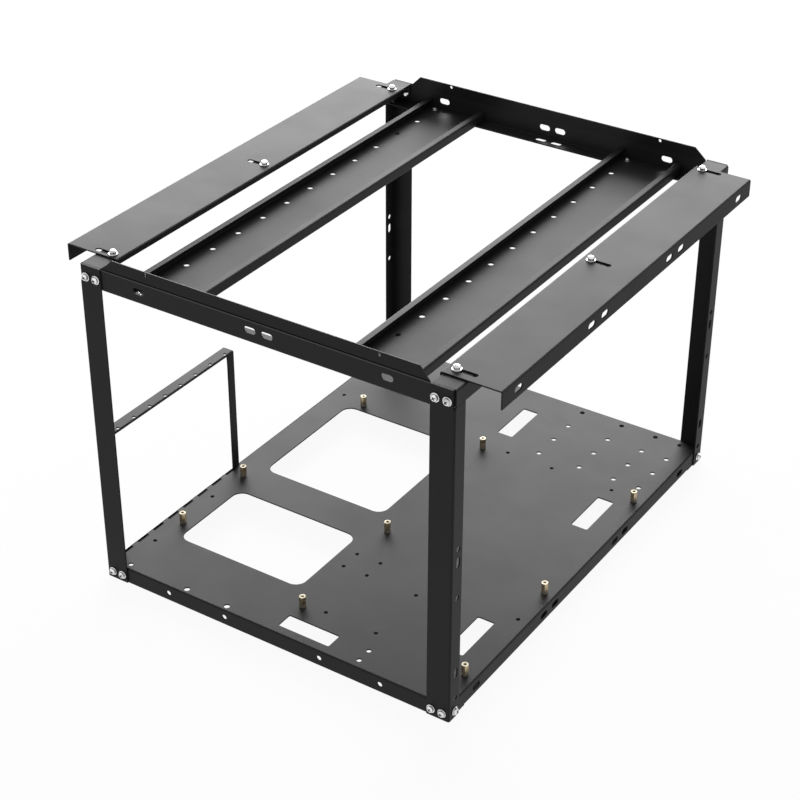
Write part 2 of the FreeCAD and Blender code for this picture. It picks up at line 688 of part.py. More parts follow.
# Standoffs
def standoff_places():
    """Centres of the nine board standoffs."""
    columns = [across(x) for x in STANDOFF_COLUMNS]
    rows = [along(y) for y in STANDOFF_ROWS]
    places = [(x, rows[0]) for x in columns]
    places += [(columns[0] + STANDOFF_BACK_SHIFT, rows[1])]
    places += [(x, rows[1]) for x in columns[1:]]
    places += [(columns[0], along(STANDOFF_FRONT_ROW))]
    places += [(x, along(STANDOFF_FRONT_OFFSET)) for x in columns[1:]]
    return places


def hexagon(across_flats, height, base):
    """Make an upright six-sided prism."""
    radius = across_flats / math.sqrt(3)
    corners = []
    for index in range(7):
        angle = math.radians(60 * index)
        corners.append(Vector(radius * math.cos(angle), radius * math.sin(angle), 0))
    prism = Part.Face(Part.makePolygon(corners)).extrude(AXIS["z"] * height)
    prism.translate(base)
    return prism


def chamfered_hexagon(across_flats, height, chamfer):
    """Make a six-sided prism whose corners are turned off at both ends."""
    prism = hexagon(across_flats, height, Vector(0, 0, 0))
    tip, flat = across_flats / math.sqrt(3), across_flats / 2
    points = [
        Vector(0, 0, 0),
        Vector(flat, 0, 0),
        Vector(tip, 0, chamfer),
        Vector(tip, 0, height - chamfer),
        Vector(flat, 0, height),
        Vector(0, 0, height),
    ]
    envelope = Part.Face(Part.makePolygon(points + points[:1])).revolve(Vector(0, 0, 0), AXIS["z"], 360)
    return prism.common(envelope)


def standoff():
    """Six-sided standoff with a threaded bore above and a stud below."""
    body = chamfered_hexagon(STANDOFF_ACROSS, STANDOFF_HEIGHT, 0.4)
    bore_base = Vector(0, 0, STANDOFF_HEIGHT - STANDOFF_BORE_DEPTH)
    bore = Part.makeCylinder(STANDOFF_BORE / 2, STANDOFF_BORE_DEPTH + 1, bore_base)
    stud = Part.makeCylinder(STUD_DIAMETER / 2, STUD_LENGTH, Vector(0, 0, -STUD_LENGTH))
    return body.cut(bore).fuse(stud)


def standoffs():
    """All nine standoffs on top of the tray."""
    return Part.makeCompound([placed(standoff(), Vector(x, y, TRAY_HEIGHT)) for x, y in standoff_places()])


# Fasteners, modelled upright with the seat of the head or nut at the origin
def pan_screw(length, diameter=SCREW_DIAMETER, head_diameter=HEAD_DIAMETER, head_height=HEAD_HEIGHT):
    """Screw with a domed pan head, a cross recess and a plain shank."""
    radius = head_diameter / 2
    rim = head_height * 0.45
    top = Vector(0, 0, head_height)
    crown = Vector(0.3, 0, head_height)
    dome = Part.Arc(Vector(radius, 0, rim), Vector(radius * 0.8, 0, head_height * 0.88), crown)
    sides = [
        Part.makeLine(Vector(0, 0, 0), Vector(radius, 0, 0)),
        Part.makeLine(Vector(radius, 0, 0), Vector(radius, 0, rim)),
        dome.toShape(),
        Part.makeLine(crown, top),
        Part.makeLine(top, Vector(0, 0, 0)),
    ]
    head = Part.Face(Part.Wire(sides)).revolve(Vector(0, 0, 0), AXIS["z"], 360)
    share = head_diameter / HEAD_DIAMETER
    half = (share * DRIVE_LENGTH / 2, share * DRIVE_WIDTH / 2)
    depth = (head_height - share * DRIVE_DEPTH, head_height + 1)
    recess = [
        block((-half[0], half[0]), (-half[1], half[1]), depth),
        block((-half[1], half[1]), (-half[0], half[0]), depth),
    ]
    shank = Part.makeCylinder(diameter / 2, length, Vector(0, 0, -length))
    return head.fuse(shank).cut(recess)


def hex_nut():
    """Six-sided nut that seats upwards against a sheet."""
    nut = chamfered_hexagon(NUT_ACROSS, NUT_HEIGHT, 0.5)
    bore = Part.makeCylinder(SCREW_DIAMETER / 2 + THREAD_GAP, NUT_HEIGHT + 2, Vector(0, 0, -1))
    nut = nut.cut(bore)
    nut.translate(Vector(0, 0, -NUT_HEIGHT))
    return nut


def plate_washer():
    """Flat washer that seats on the plate."""
    ring = Part.makeCylinder(WASHER_DIAMETER / 2, WASHER_THICKNESS)
    return ring.cut(Part.makeCylinder(CLEARANCE_BORE / 2 - 0.1, WASHER_THICKNESS + 2, Vector(0, 0, -1)))


def placed(shape, position, turn_axis="x", degrees=0):
    """Copy a shape, turned about an axis through its origin and moved into place."""
    copy = shape.copy()
    if degrees:
        copy.rotate(Vector(0, 0, 0), AXIS[turn_axis], degrees)
    copy.translate(position)
    return copy


def card_screw():
    """Small screw from a card rail into the floor flange of an end rail."""
    return pan_screw(2 * SHEET + THREAD_BEYOND, CARD_SCREW_DIAMETER, CARD_HEAD_DIAMETER, CARD_HEAD_HEIGHT)


def corner_set(shape, depth):
    """Place a fastener at both corner screws of all four corners, at this depth in the stack."""
    height = FRAME_HEIGHT - CORNER_SCREW_DROP
    copies = []
    for inset in CORNER_SCREW_INSETS:
        copies += four_corners(placed(shape, Vector(across(inset), along(depth), height), "x", 90))
    return Part.makeCompound(copies)


def tray_screws():
    """Short screws from the posts into the tapped flanges of the tray."""
    screw = pan_screw(SHORT_SCREW_LENGTH)
    copies = []
    for inset in CORNER_SCREW_INSETS:
        copies += four_corners(placed(screw, Vector(across(inset), along(0), FLANGE_HOLE_HEIGHT), "x", 90))
    side = placed(screw, Vector(across(0), along(SIDE_SCREW_INSET), FLANGE_HOLE_HEIGHT), "y", -90)
    return Part.makeCompound(copies + four_corners(side))


def plate_set(shape, height):
    """Place a fastener at every clamping screw of both plates."""
    left = [placed(shape, Vector(across(PLATE_SCREW_INSIDE), y, height)) for y in plate_screw_stations()]
    return Part.makeCompound(left + [mirrored(item, "x") for item in left])


def card_rail_set(shape, height):
    """Place a fastener at both ends of both card rails."""
    return Part.makeCompound([
        placed(shape, Vector(x, y, height))
        for x in card_screw_lines()
        for y in (along(RAIL_SCREW_INSET), -along(RAIL_SCREW_INSET))
    ])


def bracket_screw():
    """Screw from the tray's left flange into the far foot of the slot bracket."""
    seat = Vector(across(SHEET), bracket_screw_station(), FLANGE_HOLE_HEIGHT)
    return placed(pan_screw(SHORT_SCREW_LENGTH), seat, "y", -90)


def build_nodes():
    """Return every node of the chassis by name."""
    post = post_front_left()
    side_rail = side_rail_left()
    end_rail = end_rail_front()
    plate = top_plate_right()
    corner_length = 3 * SHEET + CORNER_THREAD_BEYOND
    plate_length = WASHER_THICKNESS + 2 * SHEET + NUT_HEIGHT + THREAD_BEYOND
    return {
        "base_tray": base_tray(),
        "post_front_left": post,
        "post_front_right": mirrored(post, "x"),
        "post_back_left": mirrored(post, "y"),
        "post_back_right": half_turn(post),
        "side_rail_left": side_rail,
        "side_rail_right": half_turn(side_rail),
        "end_rail_front": end_rail,
        "end_rail_back": half_turn(end_rail),
        "card_rail_left": card_rail(CARD_RAIL_LEFTS[0]),
        "card_rail_right": card_rail(CARD_RAIL_LEFTS[1]),
        "top_plate_left": half_turn(plate),
        "top_plate_right": plate,
        "slot_bracket": slot_bracket(),
        "standoffs": standoffs(),
        "corner_screws": corner_set(pan_screw(corner_length), LAYER["post"]),
        "tray_screws": tray_screws(),
        "plate_screws": plate_set(pan_screw(plate_length), PLATE_TOP + WASHER_THICKNESS),
        "plate_washers": plate_set(plate_washer(), PLATE_TOP),
        "plate_nuts": plate_set(hex_nut(), FRAME_HEIGHT - SHEET),
        "card_rail_screws": card_rail_set(card_screw(), CARD_FLOOR + SHEET),
        "bracket_screw": bracket_screw(),
    }


def main():
    """Build every node and write it as a STEP file."""
    os.makedirs("parts", exist_ok=True)
    for node, shape in build_nodes().items():
        shape.exportStep("parts/{}.step".format(node))


main()
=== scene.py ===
"""Looks of an open sheet metal chassis: coated folded sheets, zinc screws, brass standoffs.

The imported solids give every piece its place. This script rounds the cut edges of the
sheets, rebuilds the fasteners and standoffs with their threads and recesses, and gives
each surface its finish. All sizes are in metres.
"""

import json
import logging
import math
import random
from dataclasses import dataclass, field
from enum import Enum
from functools import cache
from typing import Callable, ClassVar, Iterable, Sequence

import bpy
from bpy.types import ID, Material, Mesh, MeshPolygon, MeshVertex, Node, NodeOutputs
from bpy.types import NodeSocket, NodeTree, Object, World
from mathutils import Matrix, Vector
from mathutils.bvhtree import BVHTree

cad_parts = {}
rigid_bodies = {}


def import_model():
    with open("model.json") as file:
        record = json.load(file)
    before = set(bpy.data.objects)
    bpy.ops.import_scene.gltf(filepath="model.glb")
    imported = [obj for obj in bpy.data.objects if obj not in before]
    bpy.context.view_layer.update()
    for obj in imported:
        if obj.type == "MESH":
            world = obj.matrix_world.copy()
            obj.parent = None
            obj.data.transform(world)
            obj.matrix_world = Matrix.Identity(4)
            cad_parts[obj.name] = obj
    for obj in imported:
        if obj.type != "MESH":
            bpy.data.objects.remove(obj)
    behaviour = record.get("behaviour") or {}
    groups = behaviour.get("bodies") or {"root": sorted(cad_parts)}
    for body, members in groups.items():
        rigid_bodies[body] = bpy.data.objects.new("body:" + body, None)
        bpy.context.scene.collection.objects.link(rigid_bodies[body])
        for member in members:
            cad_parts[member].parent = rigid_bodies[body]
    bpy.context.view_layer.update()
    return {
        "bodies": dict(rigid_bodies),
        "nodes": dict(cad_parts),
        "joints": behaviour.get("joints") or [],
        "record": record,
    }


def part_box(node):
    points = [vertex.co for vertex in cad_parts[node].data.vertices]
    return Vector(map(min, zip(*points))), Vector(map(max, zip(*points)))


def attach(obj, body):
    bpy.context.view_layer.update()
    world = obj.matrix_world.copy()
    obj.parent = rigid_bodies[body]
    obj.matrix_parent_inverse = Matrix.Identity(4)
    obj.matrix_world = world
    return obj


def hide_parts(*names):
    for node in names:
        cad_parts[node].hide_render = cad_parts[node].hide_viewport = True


log = logging.getLogger("chassis")

MM = 0.001
Triple = tuple[float, float, float]
Span = tuple[float, float]

FACING = 0.9  # how far a normal points in a direction when its face looks that way
LONG = 0.9  # share of a bar's length that its lengthwise edges exceed
ROUND = 48  # sides of a fine round form


class Slot(Enum):
    """Material slots of the record."""

    POWDER_COAT = "powder_coat"
    BRASS = "brass"
    ZINC = "zinc"


class Axis(Enum):
    """The direction that a fastener's axis runs in."""

    X = 0
    Y = 1
    Z = 2


class HeadForm(Enum):
    """Half sections of screw heads: shares of the radius and of the height, from the rim up."""

    PLAIN = (
        (1.0, 0.30), (0.985, 0.46), (0.93, 0.63), (0.83, 0.77),
        (0.68, 0.885), (0.48, 0.955), (0.24, 0.992), (0.08, 1.0),
    )  # fmt: skip
    FLANGED = (
        (1.0, 0.14), (0.985, 0.19), (0.95, 0.22), (0.86, 0.235), (0.755, 0.25), (0.745, 0.56),
        (0.71, 0.70), (0.63, 0.82), (0.50, 0.92), (0.32, 0.98), (0.10, 1.0),
    )  # fmt: skip

    @property
    def crown(self) -> float:
        """Share of the radius that the driven part of the head takes."""
        return 0.76 if self is HeadForm.FLANGED else 1.0


# --- bench work


class Bench:
    """Small helpers around Blender's operators: choosing, shaping and finishing a mesh."""

    DOUBLES = 1e-6

    @staticmethod
    def clear() -> None:
        """Leaves edit mode and deselects everything."""
        if bpy.context.object is not None and bpy.context.object.mode != "OBJECT":
            bpy.ops.object.mode_set(mode="OBJECT")
        bpy.ops.object.select_all(action="DESELECT")

    @staticmethod
    def only(piece: Object) -> None:
        """Makes one piece the selected and active one."""
        Bench.clear()
        piece.select_set(True)
        bpy.context.view_layer.objects.active = piece

    @staticmethod
    def edit(piece: Object, action: str = "SELECT") -> None:
        """Opens a piece for editing.

        Args:
            piece: The mesh object to edit.
            action: SELECT for all of it selected at the start, or DESELECT for none.
        """
        Bench.only(piece)
        bpy.ops.object.mode_set(mode="EDIT")
        bpy.ops.mesh.select_all(action=action)

    @staticmethod
    def done() -> None:
        """Closes edit mode."""
        bpy.ops.object.mode_set(mode="OBJECT")

    @staticmethod
    def settle() -> None:
        """Moves the selected pieces' place, turn and size into their meshes."""
        bpy.ops.object.transform_apply(location=True, rotation=True, scale=True)

    @staticmethod
    def add(name: str, data: ID) -> Object:
        """Adds an object to the scene.

        Args:
            name: The object's name.
            data: The mesh, lamp or camera that it shows.

        Returns:
            The new object.
        """
        thing = bpy.data.objects.new(name, data)
        bpy.context.scene.collection.objects.link(thing)
        return thing

    @staticmethod
    def pick(piece: Object, kind: str, items: str, wanted: Callable[[object], bool]) -> int:
        """Selects the faces or edges that pass a test and opens the piece for editing.

        Args:
            piece: The mesh object to select on.
            kind: The select mode, FACE or EDGE.
            items: Where the mesh keeps them, polygons or edges.
            wanted: The test.

        Returns:
            How many are selected.
        """
        Bench.edit(piece, "DESELECT")
        bpy.ops.mesh.select_mode(type=kind)
        Bench.done()
        count = 0
        for item in getattr(piece.data, items):
            item.select = wanted(item)
            count += int(item.select)
        bpy.ops.object.mode_set(mode="EDIT")
        return count

    @staticmethod
    def pick_faces(piece: Object, test: Callable[[MeshPolygon], bool]) -> int:
        """Selects the faces that pass a test, for editing, and gives their number."""
        return Bench.pick(piece, "FACE", "polygons", test)

    @staticmethod
    def pick_edges(piece: Object, test: Callable[[Vector, Vector], bool]) -> int:
        """Selects the edges whose two ends pass a test, for editing, and gives their number."""
        points = piece.data.vertices
        return Bench.pick(
            piece, "EDGE", "edges", lambda edge: test(*(points[i].co for i in edge.vertices))
        )

    @staticmethod
    def extrude(move: Sequence[float]) -> None:
        """Extrudes the selected faces by a move."""
        bpy.ops.mesh.extrude_region_move(TRANSFORM_OT_translate={"value": tuple(move)})

    @staticmethod
    def resize(factor: float) -> None:
        """Scales the selection about the Z axis in the plane of X and Y."""
        bpy.ops.transform.resize(value=(factor, factor, 1), center_override=(0, 0, 0))

    @staticmethod
    def split(piece: Object, index: int, level: float) -> None:
        """Divides the faces of a piece along a level plane, without changing its shape.

        Args:
            piece: The mesh object to divide.
            index: The axis that the plane is square to, 0 to 2.
            level: Where the plane meets that axis.
        """
        normal = Stations.unit(index)
        Bench.edit(piece)
        bpy.ops.mesh.bisect(plane_co=tuple(normal * level), plane_no=tuple(normal))
        Bench.done()

    @staticmethod
    def apply(piece: Object, kind: str, **settings: object) -> None:
        """Adds a modifier, sets it and applies it.

        Args:
            piece: The mesh object to finish.
            kind: The modifier's type.
            **settings: The modifier's properties.
        """
        Bench.only(piece)
        modifier = piece.modifiers.new(kind.lower(), kind)
        for name, value in settings.items():
            setattr(modifier, name, value)
        bpy.ops.object.modifier_apply(modifier=modifier.name)

    @staticmethod
    def bevel(piece: Object, width: float, degrees: float, **settings: object) -> None:
        """Rounds the edges that are sharper than an angle.

        Args:
            piece: The mesh object to finish.
            width: How far the rounding reaches from the edge.
            degrees: The angle above which an edge is rounded.
            **settings: Further properties of the modifier.
        """
        limit = {"limit_method": "ANGLE", "angle_limit": math.radians(degrees)}
        Bench.apply(piece, "BEVEL", width=width, segments=2, **limit, **settings)

    @staticmethod
    def carve(piece: Object, tool: Object, operation: str = "DIFFERENCE") -> None:
        """Cuts or trims a piece with another one, which is used up."""
        Bench.apply(piece, "BOOLEAN", operation=operation, object=tool, solver="EXACT")
        bpy.data.objects.remove(tool, do_unlink=True)

    @staticmethod
    def smooth(piece: Object, degrees: float) -> None:
        """Shades a piece smooth, apart from edges sharper than an angle."""
        Bench.only(piece)
        bpy.ops.object.shade_smooth_by_angle(angle=math.radians(degrees))

    @staticmethod
    def outward(piece: Object) -> None:
        """Merges doubles and turns all faces outwards."""
        Bench.edit(piece)
        bpy.ops.mesh.remove_doubles(threshold=Bench.DOUBLES)
        bpy.ops.mesh.normals_make_consistent(inside=False)
        Bench.done()

    @staticmethod
    def join(pieces: Sequence[Object], name: str) -> Object:
        """Joins pieces into one object at the origin.

        Args:
            pieces: The mesh objects to join.
            name: The joined object's name.

        Returns:
            The joined object.
        """
        Bench.only(pieces[0])
        for piece in pieces:
            piece.select_set(True)
        Bench.settle()
        if len(pieces) > 1:
            bpy.ops.object.join()
        joined = bpy.context.object
        joined.name = name
        joined.data.name = name
        return joined

    @staticmethod
    def round_bar(radius: float, low: float, high: float, sides: int, name: str) -> Object:
        """Adds a closed bar along Z as the start of a piece.

        Args:
            radius: Distance from the axis to a corner.
            low: Height of the lower end.
            high: Height of the upper end.
            sides: Number of sides.
            name: The object's name.

        Returns:
            The new object.
        """
        Bench.clear()
        bpy.ops.mesh.primitive_cylinder_add(
            vertices=sides, radius=radius, depth=high - low, location=(0, 0, (low + high) / 2)
        )
        bar = bpy.context.object
        bar.name = name
        Bench.settle()
        return bar

    @staticmethod
    def declare(piece: Object, node: str, slot: Slot) -> None:
        """Lets a finished piece ride on the frame and stand for its node, and reports it.

        Args:
            piece: The finished piece.
            node: The solid or solids that it stands for.
            slot: The record's material slot; not used.
        """
        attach(piece, "root")
        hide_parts(node)
        log.info("%s: %d faces", piece.name, len(piece.data.polygons))


# --- node graphs


class Graph:
    """A thin layer over a node tree that places and links nodes."""

    COLUMN = 190
    MIX_FIRST, MIX_SECOND, MIX_RESULT = 6, 7, 2  # where a Mix node keeps its colours

    def __init__(self, tree: NodeTree) -> None:
        """Empties a node tree and starts on it."""
        self.tree = tree
        tree.nodes.clear()

    @classmethod
    def of(cls, owner: Material | World) -> "Graph":
        """Switches a material or world to nodes and starts its graph."""
        owner.use_nodes = True
        return cls(owner.node_tree)

    def add(self, kind: str, effect: NodeTree | None = None, **inputs: object) -> Node:
        """Adds a node and sets or links its inputs.

        Args:
            kind: The node's type name.
            effect: The shared effect that a group node shows.
            **inputs: Input names with underscores for spaces, each with a value or an output.

        Returns:
            The new node.
        """
        node = self.tree.nodes.new(kind)
        node.location.x = self.COLUMN * len(self.tree.nodes)
        if effect is not None:
            node.node_tree = effect
        for name, value in inputs.items():
            self.feed(node.inputs[name.replace("_", " ")], value)
        return node

    def effect(self, tree: NodeTree, **inputs: object) -> NodeOutputs:
        """Places a shared effect, sets or links its inputs and gives its outputs."""
        return self.add("ShaderNodeGroup", tree, **inputs).outputs

    def feed(self, socket: NodeSocket, value: object) -> None:
        """Sets a socket or links an output to it.

        Args:
            socket: The input.
            value: A plain value or an output.
        """
        if isinstance(value, NodeSocket):
            self.tree.links.new(value, socket)
        else:
            socket.default_value = value

    def result(self, node: Node, *values: object) -> NodeSocket:
        """Feeds a node's first inputs in order.

        Args:
            node: The node.
            *values: Values or outputs.

        Returns:
            The node's first output.
        """
        for socket, value in zip(node.inputs, values):
            self.feed(socket, value)
        return node.outputs[0]

    def math(self, operation: str, first: object, second: object) -> NodeSocket:
        """Adds a Math node.

        Args:
            operation: The Math node's operation.
            first: Value or output for the first input.
            second: Value or output for the second input.

        Returns:
            The node's output.
        """
        node = self.add("ShaderNodeMath")
        node.operation = operation
        return self.result(node, first, second)

    def noise(self, place: object, scale: object, **inputs: object) -> NodeSocket:
        """Adds a noise texture and gives its value."""
        return self.add("ShaderNodeTexNoise", Vector=place, Scale=scale, **inputs).outputs[0]

    def span(self, value: object, given: Span, wanted: Span = (0.0, 1.0)) -> NodeSocket:
        """Maps a value smoothly from one range to another.

        Args:
            value: The output to map.
            given: The range that is read.
            wanted: The results at its two ends.

        Returns:
            The mapped output.
        """
        node = self.add("ShaderNodeMapRange")
        node.interpolation_type = "SMOOTHSTEP"
        return self.result(node, value, *given, *wanted)

    def blend(self, factor: object, first: object, second: object) -> NodeSocket:
        """Mixes two colours.

        Args:
            factor: Value or output, 0 for the first colour and 1 for the second.
            first: The first colour.
            second: The second colour.

        Returns:
            The mixed colour.
        """
        node = self.add("ShaderNodeMix", Factor=factor)
        node.data_type = "RGBA"
        self.feed(node.inputs[self.MIX_FIRST], first)
        self.feed(node.inputs[self.MIX_SECOND], second)
        return node.outputs[self.MIX_RESULT]

    def bump(self, height: NodeSocket, relief: float, depth: float) -> NodeSocket:
        """Turns a height into a normal, at a strength and a depth in metres."""
        return self.add("ShaderNodeBump", Height=height, Strength=relief, Distance=depth).outputs[0]

    def surface(self, **inputs: object) -> None:
        """Ends a material with a Principled shader that takes these inputs."""
        shader = self.add("ShaderNodeBsdfPrincipled", **inputs)
        self.add("ShaderNodeOutputMaterial", Surface=shader.outputs[0])

    def plainly_seen(self) -> NodeSocket:
        """Gives 1 to the camera, in reflections and through glass, and 0 to diffuse light."""
        rays = self.add("ShaderNodeLightPath").outputs
        seen = self.math("MAXIMUM", rays["Is Camera Ray"], rays["Is Glossy Ray"])
        return self.math("MAXIMUM", seen, rays["Is Transmission Ray"])


class Effects:
    """Shader groups that several finishes share. Each is built once."""

    GRIT_FINENESS = 4.2
    MOTTLE_SCALE = 21.0
    WIPE_SCALE = 14.0
    WIPE_TURN = (0.3, 0.2, 0.7)
    WIPE_STRETCH = (1.0, 2.6, 1.4)
    WIPED = (0.5, 0.72)
    SPECK = (0.04, 0.14)
    PATCH_SCALE = 260.0

    @staticmethod
    def start(name: str, inputs: dict, outputs: Sequence[str]) -> tuple[Graph, NodeOutputs]:
        """Starts a node group with named sockets.

        Args:
            name: The group's name.
            inputs: Input names with their defaults, None for the texture's place.
            outputs: Names of the values that it puts out.

        Returns:
            The group's graph, and the outputs of its input node.
        """
        tree = bpy.data.node_groups.new(name, "ShaderNodeTree")
        for label, default in inputs.items():
            kind = "NodeSocketFloat" if isinstance(default, float) else "NodeSocketVector"
            socket = tree.interface.new_socket(name=label, in_out="INPUT", socket_type=kind)
            if default is not None:
                socket.default_value = default
        for label in outputs:
            tree.interface.new_socket(name=label, in_out="OUTPUT", socket_type="NodeSocketFloat")
        graph = Graph(tree)
        return graph, graph.add("NodeGroupInput").outputs

    @staticmethod
    @cache
    def orange_peel() -> NodeTree:
        """Builds the skin of sprayed powder: soft pebbles, fine grit and a slow mottle."""
        inputs = {"Vector": None, "Pebble Size": 0.0011, "Grit": 0.35}
        graph, given = Effects.start("orange_peel", inputs, ("Height", "Mottle", "Grain"))
        place = given["Vector"]
        scale = graph.math("DIVIDE", 1.0, given["Pebble Size"])
        pebbles = graph.noise(place, scale, Detail=1.5)
        grit = graph.noise(place, graph.math("MULTIPLY", scale, Effects.GRIT_FINENESS), Detail=2.0)
        slow = graph.noise(place, Effects.MOTTLE_SCALE, Detail=4.0, Roughness=0.6)
        height = graph.math("ADD", pebbles, graph.math("MULTIPLY", grit, given["Grit"]))
        graph.add("NodeGroupOutput", Height=height, Mottle=slow, Grain=grit)
        return graph.tree

    @staticmethod
    @cache
    def handling() -> NodeTree:
        """Builds the marks of use: wiped smudges and single specks of dust."""
        inputs = {"Vector": None, "Speck Share": 0.06, "Speck Size": 0.0022}
        graph, given = Effects.start("handling", inputs, ("Smudge", "Specks"))
        place = given["Vector"]
        turn, size = Effects.WIPE_TURN, Effects.WIPE_STRETCH
        stretch = graph.add("ShaderNodeMapping", Vector=place, Rotation=turn, Scale=size)
        wipe = graph.noise(stretch.outputs[0], Effects.WIPE_SCALE, Detail=5.0, Distortion=0.6)
        density = graph.math("DIVIDE", 1.0, given["Speck Size"])
        cells = graph.add("ShaderNodeTexVoronoi", Vector=place, Scale=density).outputs
        dot = graph.span(cells["Distance"], Effects.SPECK, (1.0, 0.0))
        chance = graph.add("ShaderNodeSeparateColor", Color=cells["Color"])
        kept = graph.math("LESS_THAN", chance.outputs[0], given["Speck Share"])
        specks = graph.math("MULTIPLY", dot, kept)
        graph.add("NodeGroupOutput", Smudge=graph.span(wipe, Effects.WIPED), Specks=specks)
        return graph.tree

    @staticmethod
    @cache
    def fine_lines() -> NodeTree:
        """Builds the lines that a cutter or die leaves, across one direction."""
        inputs = {"Vector": None, "Across": (400.0, 400.0, 9000.0)}
        graph, given = Effects.start("fine_lines", inputs, ("Height", "Tone"))
        product = graph.add("ShaderNodeVectorMath")
        product.operation = "MULTIPLY"
        stretched = graph.result(product, given["Vector"], given["Across"])
        lines = graph.noise(stretched, 1.0, Detail=3.0)
        patches = graph.noise(given["Vector"], Effects.PATCH_SCALE)
        graph.add("NodeGroupOutput", Height=lines, Tone=patches)
        return graph.tree


@dataclass(frozen=True)
class PowderCoat:
    """Black powder coat on steel.

    Attributes:
        name: The material's name.
        deep: Base value of the deepest tone.
        spread: The lightest tone as a multiple of the deepest.
        gloss: Roughness range, from the glossiest to the dullest spot.
        pebble: Size of the orange peel.
        relief: Strength of the bump.
        sheen: Specular level.
        shift: Moves the pattern, so that two parts don't share it.
    """

    name: str
    deep: float = 0.0090
    spread: float = 1.4
    gloss: Span = (0.51, 0.54)
    pebble: float = 1.1 * MM
    relief: float = 0.16
    sheen: float = 0.20
    shift: float = 0.0
    BLUE = 1.055
    DRIFT = (1.0, 0.6, 0.3)
    DUST = (0.09, 0.088, 0.082, 1)
    DUST_SHARE = 0.35
    MOTTLE = (0.3, 0.7)
    SMUDGE_GAIN = 0.012
    GRAIN_GAIN = 0.03
    PEEL_DEPTH = 0.1 * MM

    def tone(self, value: float) -> tuple[float, float, float, float]:
        """Gives the coat's slightly bluish black at one base value."""
        return (value, value, value * self.BLUE, 1.0)

    def make(self) -> Material:
        """Builds the material.

        Returns:
            The powder coat.
        """
        material = bpy.data.materials.new(self.name)
        graph = Graph.of(material)
        place = graph.add("ShaderNodeTexCoord").outputs["Object"]
        drift = tuple(self.shift * share for share in self.DRIFT)
        moved = graph.add("ShaderNodeMapping", Vector=place, Location=drift).outputs[0]
        peel = graph.effect(Effects.orange_peel(), Vector=moved, Pebble_Size=self.pebble)
        marks = graph.effect(Effects.handling(), Vector=moved)
        tone = graph.blend(peel["Mottle"], self.tone(self.deep), self.tone(self.deep * self.spread))
        dust = graph.math("MULTIPLY", marks["Specks"], self.DUST_SHARE)
        dusted = graph.blend(dust, tone, self.DUST)
        rough = graph.span(peel["Mottle"], self.MOTTLE, self.gloss)
        rough = graph.math("ADD", rough, graph.math("MULTIPLY", marks["Smudge"], self.SMUDGE_GAIN))
        rough = graph.math("ADD", rough, graph.math("MULTIPLY", peel["Grain"], self.GRAIN_GAIN))
        normal = graph.bump(peel["Height"], self.relief, self.PEEL_DEPTH)
        graph.surface(
            Base_Color=dusted, Roughness=rough, Normal=normal, Specular_IOR_Level=self.sheen
        )
        return material


@dataclass(frozen=True)
class PlatedMetal:
    """Bare or plated metal: zinc on steel, or turned brass.

    Attributes:
        name: The material's name.
        bright: Base colour of the cleanest metal.
        dull: Base colour where it has darkened.
        gloss: Roughness range, from the glossiest to the dullest spot.
        lines: Scale of the fine lines in X, Y and Z.
        relief: Strength of the bump.
        metallic: Share of bare metal, where the rest is its dull film.
        fade: Heights between which the painted light at the foot fades out, or None.
    """

    name: str
    bright: Triple
    dull: Triple
    gloss: Span
    lines: Triple
    relief: float = 0.15
    metallic: float = 1.0
    fade: Span | None = None
    # painted light: the pale, grey colour at the foot
    PAINTED_FOOT_LIGHT = (0.56, 0.52, 0.45, 1.0)
    FOOT_LIGHT_SHARE = 0.75
    SPECK_SIZE = 0.8 * MM
    SPECK_SHARE = 0.5
    STAINED = (0.42, 0.66)
    LINED = (0.3, 0.7)
    LINE_DEPTH = 0.03 * MM

    def make(self) -> Material:
        """Builds the material.

        Returns:
            The metal.
        """
        material = bpy.data.materials.new(self.name)
        graph = Graph.of(material)
        place = graph.add("ShaderNodeTexCoord").outputs["Object"]
        grain = graph.effect(Effects.fine_lines(), Vector=place, Across=self.lines)
        marks = graph.effect(Effects.handling(), Vector=place, Speck_Size=self.SPECK_SIZE)
        worn = graph.math("MAXIMUM", graph.span(grain["Tone"], self.STAINED), marks["Smudge"])
        tone = graph.blend(worn, (*self.bright, 1), (*self.dull, 1))
        specks = graph.math("MULTIPLY", marks["Specks"], self.SPECK_SHARE)
        spotted = graph.blend(specks, tone, (*self.dull, 1))
        if self.fade is not None:
            # painted light: the foot is paler and greyer, fading out upwards
            height = graph.add("ShaderNodeSeparateXYZ", Vector=place).outputs["Z"]
            foot_light = graph.span(height, self.fade, (self.FOOT_LIGHT_SHARE, 0.0))
            spotted = graph.blend(foot_light, spotted, self.PAINTED_FOOT_LIGHT)
        rough = graph.span(grain["Height"], self.LINED, self.gloss)
        normal = graph.bump(grain["Height"], self.relief, self.LINE_DEPTH)
        graph.surface(Base_Color=spotted, Metallic=self.metallic, Roughness=rough, Normal=normal)
        return material


# --- sheets


